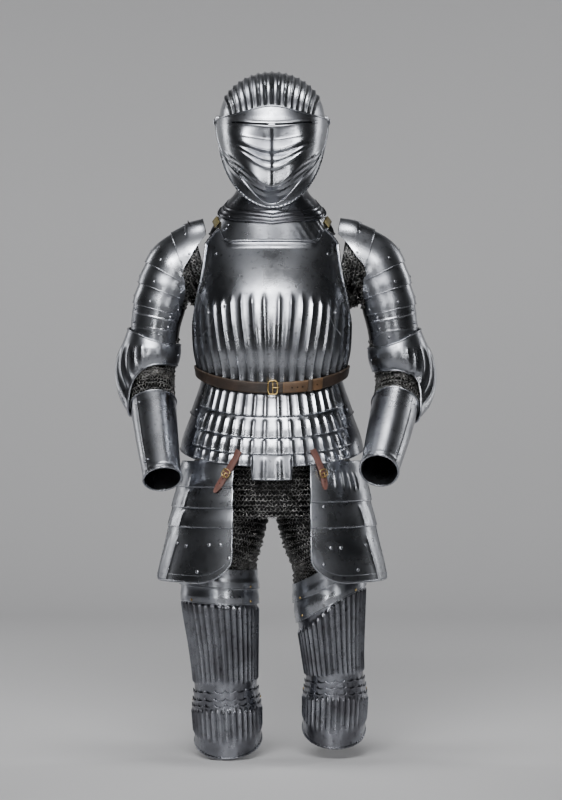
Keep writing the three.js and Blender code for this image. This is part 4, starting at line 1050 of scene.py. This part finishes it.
def arm(name):
    form, step = limb(SIDES[name], ARMS[name])
    wrap = steps(*WRAP, 120)

    def capped(u, v):
        opened = smooth(v, CAP["from"], CAP["full"])
        share = (u - WRAP[0]) / (WRAP[1] - WRAP[0])
        return form(lerp(lerp(CAP["start"], WRAP[0], opened), lerp(CAP["end"], WRAP[1], opened), share), v)

    for index, (start, end) in enumerate(PAULDRON):
        parts = lame(capped, wrap, start, end, PAULDRON_LAP, bar=1.2, **step)
        parts += [stud(capped, u, lerp(start, end, 0.72), LAME_STEP - 0.6, 2.8, **step)
                  for u in (-44, 20, 90, 160, 224)]
        dress(f"pauldron_{name}_{index + 1}", parts, STEEL_SET)

    v = steps(*UPPER_CANNON, 50)
    parts = [plate(form, wrap, v, 0.9 * sum(line(v, at, 0.02) for at in CANNON_STAGES), 0, **step)]
    parts += [stud(form, *spot, 0.1, 2.8, **step) for spot in CANNON_RIVETS]
    dress(f"upper_cannon_{name}", parts, STEEL_SET)

    top, foot, out = (column(COUTER, item, "round") for item in ("top", "foot", "out"))
    u = steps(COUTER["round"][0], COUTER["round"][-1], 220)
    t = steps(0, 1, 60)
    v = lerp(top(u)[:, None], foot(u)[:, None], t)
    shell = out(u)[:, None] * np.sin(math.pi * (t * 0.9 + 0.05)) + 2.4
    fan = ridge((u[:, None] - 14) / 14 + 0.9 * (t - 0.5))
    fan = fan * window(u[:, None], 14, 30, 168, 186) * window(t, 0.16, 0.4, 0.9, 0.98)
    parts = [plate(form, u, v, shell + 2.2 * fan, shell, 2.2, **step)]
    for border, at in ((top(u), 0), (foot(u), -1)):
        parts.append(edge(form, u[TRIM], border[TRIM], shell[TRIM, at], 1.9, **step))
    parts += [stud(form, at, (top(at) + foot(at)) / 2, out(at) + 2.2, **step) for at in (-64, 192)]
    dress(f"couter_{name}", parts, STEEL_SET)

    u = steps(0, 360, 160)[:-1]
    v = steps(*FOREARM, 60)
    seams = sum(line(u, at, 1.1) for at in FOREARM_SEAMS)[:, None]
    parts = [plate(form, u, v, seams + 1.1 * line(v, CUFF_LINE, 0.02), 0, closed=True, **step)]
    parts.append(edge(form, u, FOREARM[1] - 0.01, 0.5, 2.2, rope=0.12, closed=True, **step))
    parts.append(edge(form, u, FOREARM[0] + 0.02, 0.3, 1.7, closed=True, **step))
    parts += [stud(form, at, place, 0.3, 2.4, **step) for at in (34, 46) for place in (7.3, 8.7)]
    dress(f"forearm_cannon_{name}", parts, STEEL_SET)


# LEGS


def leg(name):
    own = LEGS[name]
    path, feet = own["path"], own["feet"]
    form, step = limb(SIDES[name], path)
    heights = {"at": np.arange(len(path["z"]), dtype=float), "z": -path["z"], "half": path["half"]}
    place_at, half = column(heights, "at", "z"), column(heights, "half", "z")
    start, end = LEG_WRAP
    u = steps(start, end, 12 * LEG_FLUTES)
    place = (u - start) / (end - start) * LEG_FLUTES

    def slant(z):
        return place_at(-(z + own["slope"] * half(-z) * sin(u)))

    def brass_stud(at, v, lift):
        return stud(form, at, v, lift, 2.6, 1, **step)

    for index in (0, 1):
        first = slant(own["thigh"][index] + (LAP if index else 0))
        last = slant(own["thigh"][index + 1])
        lap = THIGH_LAPS["long" if last[0] - first[0] > THIGH_LAPS["from"] else "short"]
        parts = lame(form, u, first, last, lap, bar=1.3, **step)
        parts += [brass_stud(at, np.interp(at, u, last) - 0.1, LAME_STEP - 0.2)
                  for at in (-100, -52, 44, 100)]
        dress(f"thigh_lame_{name}_{index + 1}", parts, STEEL_SET)

    across = 2 * (place / 2 - np.floor(place / 2)) - 1
    scallop = KNEE["scallop"] * (1 - np.sqrt(1 - 0.97 * across ** 2))
    a, b = slant(own["thigh"][2] + LAP), place_at(-feet[0])
    fade = b - KNEE["lap"] - KNEE["scallop"] - 0.1
    t = steps(0, 1, 80)
    v = lerp(a[:, None], b, t)
    fluted = ridge(place)[:, None] * smooth(v, (a + 0.2)[:, None], (a + 0.34)[:, None])
    fluted = fluted * (1 - smooth(v, fade - 0.05, fade))
    tuck = -1.4 * (1 - smooth(v, (a + 0.22)[:, None], (a + 0.34)[:, None]))
    parts = [plate(form, u, v, LEG_FLUTE_HEIGHT * fluted + tuck, tuck, **step)]
    parts += [brass_stud(at, lerp(a[0], b, share), 0.4) for at in STUDS_AT for share in (0.3, 0.6)]
    dress(f"cuisse_{name}", parts, SHADED_STEEL_SET)

    gap = KNEE["side_gap"] + KNEE["front_gap"] * np.maximum(0, cos(u))
    for index in (1, 2, 3):
        last = index == 3
        stand = (index * (STEEL + gap) + KNEE["first"])[:, None]
        high = place_at(-feet[index - 1]) - KNEE["lap"] - scallop
        low = place_at(-feet[index]) - KNEE["rise"] * (1 - cos(u)) * last
        t = steps(0, 1, 50 if last else 14)
        v = lerp(high[:, None], low[:, None], t)
        if last:
            relief = LEG_FLUTE_HEIGHT * window(t, 0.03, 0.16, 0.62, 0.78)
        else:
            relief = KNEE["fine"] * window(t, 0.1, 0.4, 0.55, 0.7)
        parts = [plate(form, u, v, stand + relief * ridge(place)[:, None], stand, **step)]
        parts.append(edge(form, u[TRIM], high[TRIM], stand[TRIM, 0] - 0.2, 0.95, **step))
        if last:
            parts.append(edge(form, u[TRIM], low[TRIM], stand[TRIM, 0] - 0.1, 2.4, rope=0.14, **step))
        parts += [brass_stud(at, low[0] - (0.6 if last else 0.12), stand[0, 0]) for at in STUDS_AT]
        node = f"poleyn_{name}" if last else f"knee_lame_{name}_{index}"
        dress(node, parts, SHADED_STEEL_SET)


# TASSETS


def tasset_form(u, v):
    drop = np.maximum(0, TASSET["top"] - np.asarray(v, float))
    point = hoops(u, TASSET["ring"] + 0 * drop)
    out = 1 + drop * TASSET["tilt"] / np.hypot(point[..., 0], point[..., 1])
    return stack(point[..., 0] * out, point[..., 1] * out, v)


def tasset(name):
    side = SIDES[name]
    first, last, edges = TASSETS[name].values()
    middle, span = (first + last) / 2, last - first
    fold = middle + 4  # where the plate is creased, further out towards its foot

    def form(u, v):
        wider = 1 + TASSET["widening"] * np.maximum(0, TASSET["top"] - np.asarray(v, float))
        return tasset_form(side * (middle + (u - middle) * wider), v)

    def rounding(corner, away):
        rise, width = TASSET_CORNERS[corner]
        return rise * (1 - np.sqrt(1 - np.maximum(0, 1 - away / width) ** 2))

    u = arc(first, last, 90, (first, first + 6, 24), (last - 3, last, 12))
    step = {"du": 0.5, "turn": side}
    for index in range(len(edges) - 1):
        lowest = index == len(edges) - 2
        tucked = lerp(TASSET["hoop"] - dip(u), TASSET["top"], smooth(u, 42, 50))
        start = edges[index] + LAP + 0 * u if index else tucked
        end = edges[index + 1] + 0 * u
        if lowest:
            end = end + rounding("inner", (u - first) / span) + rounding("outer", (last - u) / span)

        def relief(at_u, v, share, index=index):
            if name == "left" and index == 0:
                fluted = ridge((at_u - 30) / 5.2) * window(at_u, 34, 38, 56, 62)
                return 2.4 * fluted * window(share, 0.1, 0.4, 0.8, 0.97)
            folded = fold + 8 * (edges[0] - v) / (edges[0] - edges[-1])
            creases = 1.8 * crease(at_u, folded, 1.1) + 0.9 * crease(at_u, folded + 11, 1.1)
            return creases * smooth(share, 0.05, 0.3)

        bar, rope, side_bar = (2.4, 0.12, 1.5) if lowest else (1.4, 0, 1.1)
        parts = lame(form, u, start, end, -LAP, relief, bar=bar, rope=rope, **step)
        spots = [(x, z) for row, x, z in zip(*TASSET_RIVETS[name].values()) if row == index + 1]
        studs = rivets(parts[:1], spots, 3.6)
        for at in (first + 0.4, last - 0.4):
            v = steps(np.interp(at, u, start) - 4, np.interp(at, u, end), 40)
            share = smooth(steps(0, 1, 40), 0.05, 0.95)
            parts.append(edge(form, at, v, share * LAME_STEP - 0.1, side_bar, **step))
        if lowest:
            inset = steps(first + 3.5, last - 4, 120)
            parts.append(edge(form, inset, np.interp(inset, u, end) + 13, LAME_STEP + 0.05, 0.75, **step))
        dress(f"tasset_{name}_{index + 1}", parts + studs, STEEL_SET)


def tasset_strap(name):
    at, z, proud = TASSET_STRAPS[name].values()
    at = SIDES[name] * at
    way = tasset_form(at, z) + stack(sin(at), -cos(at), 0 * at) * proud[:, None]
    along = unit(way[-1] - way[0])
    middle = way[2]
    facing = unit(middle * [1, 1, 0])
    across = unit(np.cross(facing, along))
    path = curve(way, 40)
    width = 14 * np.ones(41)
    width[-7:] *= np.sqrt(1 - steps(0, 0.96, 6) ** 2)  # its rounded end
    parts = [strap(path, across, width, LEATHER)]
    outwards = unit(np.cross(unit(np.gradient(path, axis=0)), np.broadcast_to(across, path.shape)))
    # Each hole is a near-black disc: painted shade inside the hole.
    for k in (28, 31, 34):
        foot = path[k] + outwards[k] * LEATHER * 1.14
        parts.append(lathe([(1.4, -0.3), (1.3, 0.05), (0.2, 0.08)], foot, outwards[k], 14, material=1))
    dress(f"tasset_strap_{name}", parts, (LEATHER_ROSE, PAINTED_SHADE))
    frame_parts = buckle(middle + facing * (LEATHER + 2.1), facing, along, across, 17, 19, 2.6)
    dress(f"tasset_buckle_{name}", frame_parts, (BRASS,))


for which in SIDES:
    arm(which)
    leg(which)
    tasset(which)
    tasset_strap(which)


# MAIL: rings lie on the surface of a near-black sheet, painted shade seen between them, in rows, each row
# leaning the other way

UNEVEN = np.random.default_rng(1520)
RINGS_TOP = -425  # the skirt has rings below this height, where it shows
HIDDEN_IN = 0.93  # rings of one part of the hose that lie this far inside another are not made
RING = {"outer": 8.4, "wire": 1.25, "across": 7.3, "down": 5.0, "lean": 34.0, "segments": 8, "sides": 3,
        "lean_off": 16, "turn_off": 0.25, "off": 0.6}  # the last three are how uneven the rings lie


def ring_mesh(centres, normals, downs, leans):
    """All the rings of a piece at once, as points and faces."""
    across = unit(np.cross(downs, normals))
    downs = unit(np.cross(normals, across))
    lean = np.radians(leans)[:, None]
    tilted = downs * np.cos(lean) + normals * np.sin(lean)
    axis = unit(np.cross(across, tilted))
    n, m = RING["segments"], RING["sides"]
    turn = np.arange(n) * 2 * math.pi / n
    roll = np.arange(m) * 2 * math.pi / m
    middle_radius = RING["outer"] / 2 - RING["wire"] / 2
    spoke = across[:, None] * np.cos(turn)[None, :, None] + tilted[:, None] * np.sin(turn)[None, :, None]
    r = middle_radius + RING["wire"] / 2 * np.cos(roll)
    h = RING["wire"] / 2 * np.sin(roll)
    points = spoke[:, :, None] * r[None, None, :, None] + axis[:, None, None] * h[None, None, :, None]
    points = points + centres[:, None, None]
    k = np.arange(n * m)
    beside = k - k % m + (k + 1) % m
    quads = np.stack([k, (k + m) % (n * m), (beside + m) % (n * m), beside], axis=1)
    faces = quads + (np.arange(len(centres)) * n * m)[:, None, None]
    return points.reshape(-1, 3), faces.reshape(-1, 4)


def rings_object(name, body, centres, normals, downs, leans):
    points, faces = ring_mesh(centres, normals, downs, leans)
    mesh = bpy.data.meshes.new(name)
    mesh.vertices.add(len(points))
    mesh.vertices.foreach_set("co", (points * MM).astype(np.float32).reshape(-1))
    mesh.loops.add(faces.size)
    mesh.loops.foreach_set("vertex_index", faces.astype(np.int32).reshape(-1))
    mesh.polygons.add(len(faces))
    mesh.polygons.foreach_set("loop_start", np.arange(0, faces.size, 4, dtype=np.int32))
    mesh.polygons.foreach_set("use_smooth", [True] * len(faces))
    mesh.materials.append(RINGS)
    mesh.update(calc_edges=True)
    mesh.validate()
    made = placed(name, mesh)
    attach(made, body)


def ring_places(form, u_range, v_range, girth, length, lift=lambda u, v: 0, **step):
    """Where rings go on a form: rows of rings along v, staggered round u. lift(u, v) sets them off it."""
    rows = max(2, round(length / RING["down"]))
    count = max(3, round(girth / RING["across"]))
    v = np.repeat(np.linspace(*v_range, rows), count)
    stagger = np.repeat(np.arange(rows) % 2 * 0.5, count)
    share = (np.tile(np.arange(count), rows) + stagger) / count
    u = u_range[0] + (u_range[1] - u_range[0]) * share
    normal = outward(form, u, v, **step)
    small = step.get("dv", 1.0) * 0.5
    down = unit(form(u, v + small) - form(u, v - small))
    across = unit(np.cross(down, normal))

    def uneven(spread):
        return UNEVEN.normal(0, spread, len(u))

    lean = np.where(stagger == 0, RING["lean"], -RING["lean"]) + uneven(RING["lean_off"])
    down = unit(down + across * uneven(RING["turn_off"])[:, None])
    point = form(u, v) + across * uneven(RING["off"])[:, None] + down * uneven(RING["off"])[:, None]
    return point + normal * (lift(u, v) + uneven(RING["off"] / 2))[:, None], normal, down, lean


def sleeve(name):
    form, step = limb(SIDES[name], ARMS[name])

    def lift(u, v):
        deep = lerp(SLEEVE["shoulder"], SLEEVE["inside"], smooth(v, 2.7, 3.5))
        flare = SLEEVE["flare"] * (1 - smooth(v, 0.8, 1.6)) * (1 - smooth(sin(u), 0.2, 0.6))
        sag = SLEEVE["sag"] * smooth(-sin(u), 0.86, 1) * (1 - smooth(v, 1.7, 2.7))
        return sag + flare - deep

    u = steps(0, 360, 90)[:-1]
    v = steps(SLEEVE["from"][name], 8, 90)
    # A near-black sheet under the rings: painted shade, seen between them.
    shade_sheet = plate(form, u, v, lift(u[:, None], v) - 0.4, wall=MAIL - 0.4, closed=True, **step)
    node = f"mail_sleeve_{name}"
    dress(node, [shade_sheet], (PAINTED_SHADE,))
    for part, around, along, girth in (("armpit", (-165, 30), (SLEEVE["from"][name] + 0.04, 3.2), 200),
                                       ("elbow", (-140, 100), (4.6, 7.2), 205)):
        places = ring_places(form, around, along, girth, 150, lift, **step)
        rings_object(f"mail_rings_{part}_{name}", body_of_node[node], *places)


def joined(first, second, operation):
    """first after a cut with second, or with second added."""
    cut = first.modifiers.new("cut", "BOOLEAN")
    cut.object, cut.operation, cut.solver = second, operation, "EXACT"
    bpy.context.view_layer.update()
    made = bpy.data.meshes.new_from_object(first.evaluated_get(bpy.context.evaluated_depsgraph_get()))
    first.modifiers.remove(cut)
    first.data = made
    bpy.data.objects.remove(second)
    return first


def closed_block(name, form, rows, lift, **step):
    u = steps(0, 360, 72)[:-1]
    v = np.broadcast_to(np.asarray(rows, float), (len(u), len(rows)))
    u = np.broadcast_to(u[:, None], v.shape)
    points = (form(u, v) + outward(form, u, v, **step) * lift).reshape(-1, 3)
    n, m = v.shape
    faces = [((j * m + i), (j * m + i + 1), ((j + 1) % n * m + i + 1), ((j + 1) % n * m + i))
             for j in range(n) for i in range(m - 1)]
    faces += [tuple(j * m for j in range(n)), tuple(j * m + m - 1 for j in range(n))[::-1]]
    return mesh_of(name, [(points, faces, 0)], (PAINTED_SHADE,))


def hose():
    """The mail skirt and breeches: one hollow near-black sheet, painted shade seen between the rings, which
    are laid on it from outside.
    """
    skirt = ring_form(HOSE_HIPS, 2)
    limbs = {name: limb(side, HOSE_LEGS[name]) for name, side in SIDES.items()}
    top, foot = HOSE_HIPS["z"][0], HOSE_HIPS["z"][-1]
    made = []
    for lift, leg_end, high, low in ((-0.4, 3.0, top, foot), (-MAIL, 3.3, top + 9, foot + MAIL)):
        body = closed_block("mail_hose_look", skirt, steps(high, low, 40), lift)
        for form, step in limbs.values():
            body = joined(body, closed_block("leg", form, steps(0, leg_end, 30), lift, **step), "UNION")
        made.append(body)
    # The hollow sheet is near-black: painted shade between the rings.
    shade_sheet = joined(made[0], made[1], "DIFFERENCE")
    shade_sheet.name = "mail_hose_look"
    stand_for("mail_hose", shade_sheet)

    half, front, back = (column(HOSE_HIPS, item, "z") for item in ("half", "front", "back"))
    groups = {"skirt": ring_places(skirt, (0, 360), (RINGS_TOP, foot), 900, RINGS_TOP - foot)}
    for name, (form, step) in limbs.items():
        groups[f"leg_{name}"] = ring_places(form, (0, 360), (0.2, 3.0), 500, 150, **step)

    def inside_skirt(p):
        depth = np.where(p[:, 1] < 0, front(p[:, 2]), back(p[:, 2]))
        within = (p[:, 0] / half(p[:, 2])) ** 2 + (p[:, 1] / depth) ** 2
        return (within < HIDDEN_IN) & (p[:, 2] > foot + 3)

    def inside_leg(p, name):
        rows = HOSE_LEGS[name]
        out, y, wide, deep = (column(rows, item, "z")(p[:, 2]) for item in ("out", "y", "half", "depth"))
        within = ((p[:, 0] * SIDES[name] - out) / wide) ** 2 + ((p[:, 1] - y) / deep) ** 2
        return (within < HIDDEN_IN) & (p[:, 2] < rows["z"][0])

    for group, (centres, *rest) in groups.items():
        hidden = np.zeros(len(centres), bool)
        if group != "skirt":
            hidden |= inside_skirt(centres)
        for name in limbs:
            if group != f"leg_{name}":
                hidden |= inside_leg(centres, name)
        shown = [values[~hidden] for values in (centres, *rest)]
        rings_object(f"mail_rings_{group}", body_of_node["mail_hose"], *shown)


for which in SIDES:
    sleeve(which)
hose()


# CAMERA, FLOOR AND LIGHT

VIEW_HEIGHT, SENSOR = 1.6, 24.0  # what the upright frame takes in at the armour, and the camera's sensor
STAGE_FLOOR = float(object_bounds()[0][2]) - 0.002
STAGE = {"half_width": 9.0, "ahead": -7.0, "behind": 3.2, "rise": 7.0, "bend": 1.4}
ARMOUR = (0.0, 0.0, -0.3)  # what the lamps beside the armour are turned to

camera_data = bpy.data.cameras.new("camera")
camera_data.sensor_fit = "VERTICAL"
camera_data.sensor_height = SENSOR
camera_data.lens = SENSOR * abs(CAMERA[1]) * MM / VIEW_HEIGHT
camera = placed("camera", camera_data)
camera.location = Vector(CAMERA * MM)
camera.rotation_euler = (math.pi / 2, 0, 0)
bpy.context.scene.camera = camera


def floor():
    """A pale floor that curves up behind into a pale wall."""
    bend, corner = STAGE["bend"], STAGE["behind"]
    turn = steps(0, math.pi / 2, 16)
    rounded = [(corner + bend * math.sin(a), bend * (1 - math.cos(a))) for a in turn]
    profile = [(STAGE["ahead"], 0.0), *rounded, (corner + bend, STAGE["rise"])]
    wide = STAGE["half_width"]
    points = [(x, y, z + STAGE_FLOOR) for x in (-wide, wide) for y, z in profile]
    count = len(profile)
    faces = [(k, k + 1, k + 1 + count, k + count) for k in range(count - 1)]
    mesh = bpy.data.meshes.new("floor")
    mesh.from_pydata(points, [], faces)
    shade = Shade("floor", 0.0, 0.6)
    shade.shader.inputs["Base Color"].default_value = (0.62, 0.62, 0.63, 1)
    mesh.materials.append(shade.material)
    mesh.polygons.foreach_set("use_smooth", [True] * len(faces))
    placed("floor", mesh)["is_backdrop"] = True


def light(name, place, aim, size, power, spread):
    """A soft box; spread is how wide its beam is."""
    data = bpy.data.lights.new(name, "AREA")
    data.shape, data.size, data.size_y = "RECTANGLE", *size
    data.energy, data.spread = power, math.radians(spread)
    made = placed(name, data)
    made.location = place
    made.rotation_euler = (Vector(aim) - Vector(place)).to_track_quat("-Z", "Y").to_euler()


floor()
light("key", (-0.3, -3.1, 1.5), (0, 0, 0), (2.6, 0.8), 34, 80)
light("front_strip_left", (-0.8, -3.6, -0.1), ARMOUR, (0.2, 2.2), 3.5, 70)
light("front_strip_right", (1.3, -3.4, 0.1), ARMOUR, (0.2, 2.2), 2.5, 70)
light("left_side", (-2.1, 1.3, 0.0), ARMOUR, (0.3, 2.4), 2.5, 90)
light("right_side", (2.1, 1.3, 0.0), ARMOUR, (0.3, 2.4), 2.5, 90)
light("top", (0.0, -0.3, 2.4), (0, 0, 0), (1.3, 0.7), 10, 90)
for which, sign in (("left", -1), ("right", 1)):
    light(f"backdrop_{which}", (2.6 * sign, 1.6, 1.2), (0.5 * sign, 4.4, -0.5), (1.4, 1.4), 36, 180)
world = bpy.data.worlds.new("studio")
world.use_nodes = True
background = world.node_tree.nodes["Background"].inputs
background["Color"].default_value = (0.5, 0.52, 0.55, 1)
background["Strength"].default_value = 0.03
bpy.context.scene.world = world
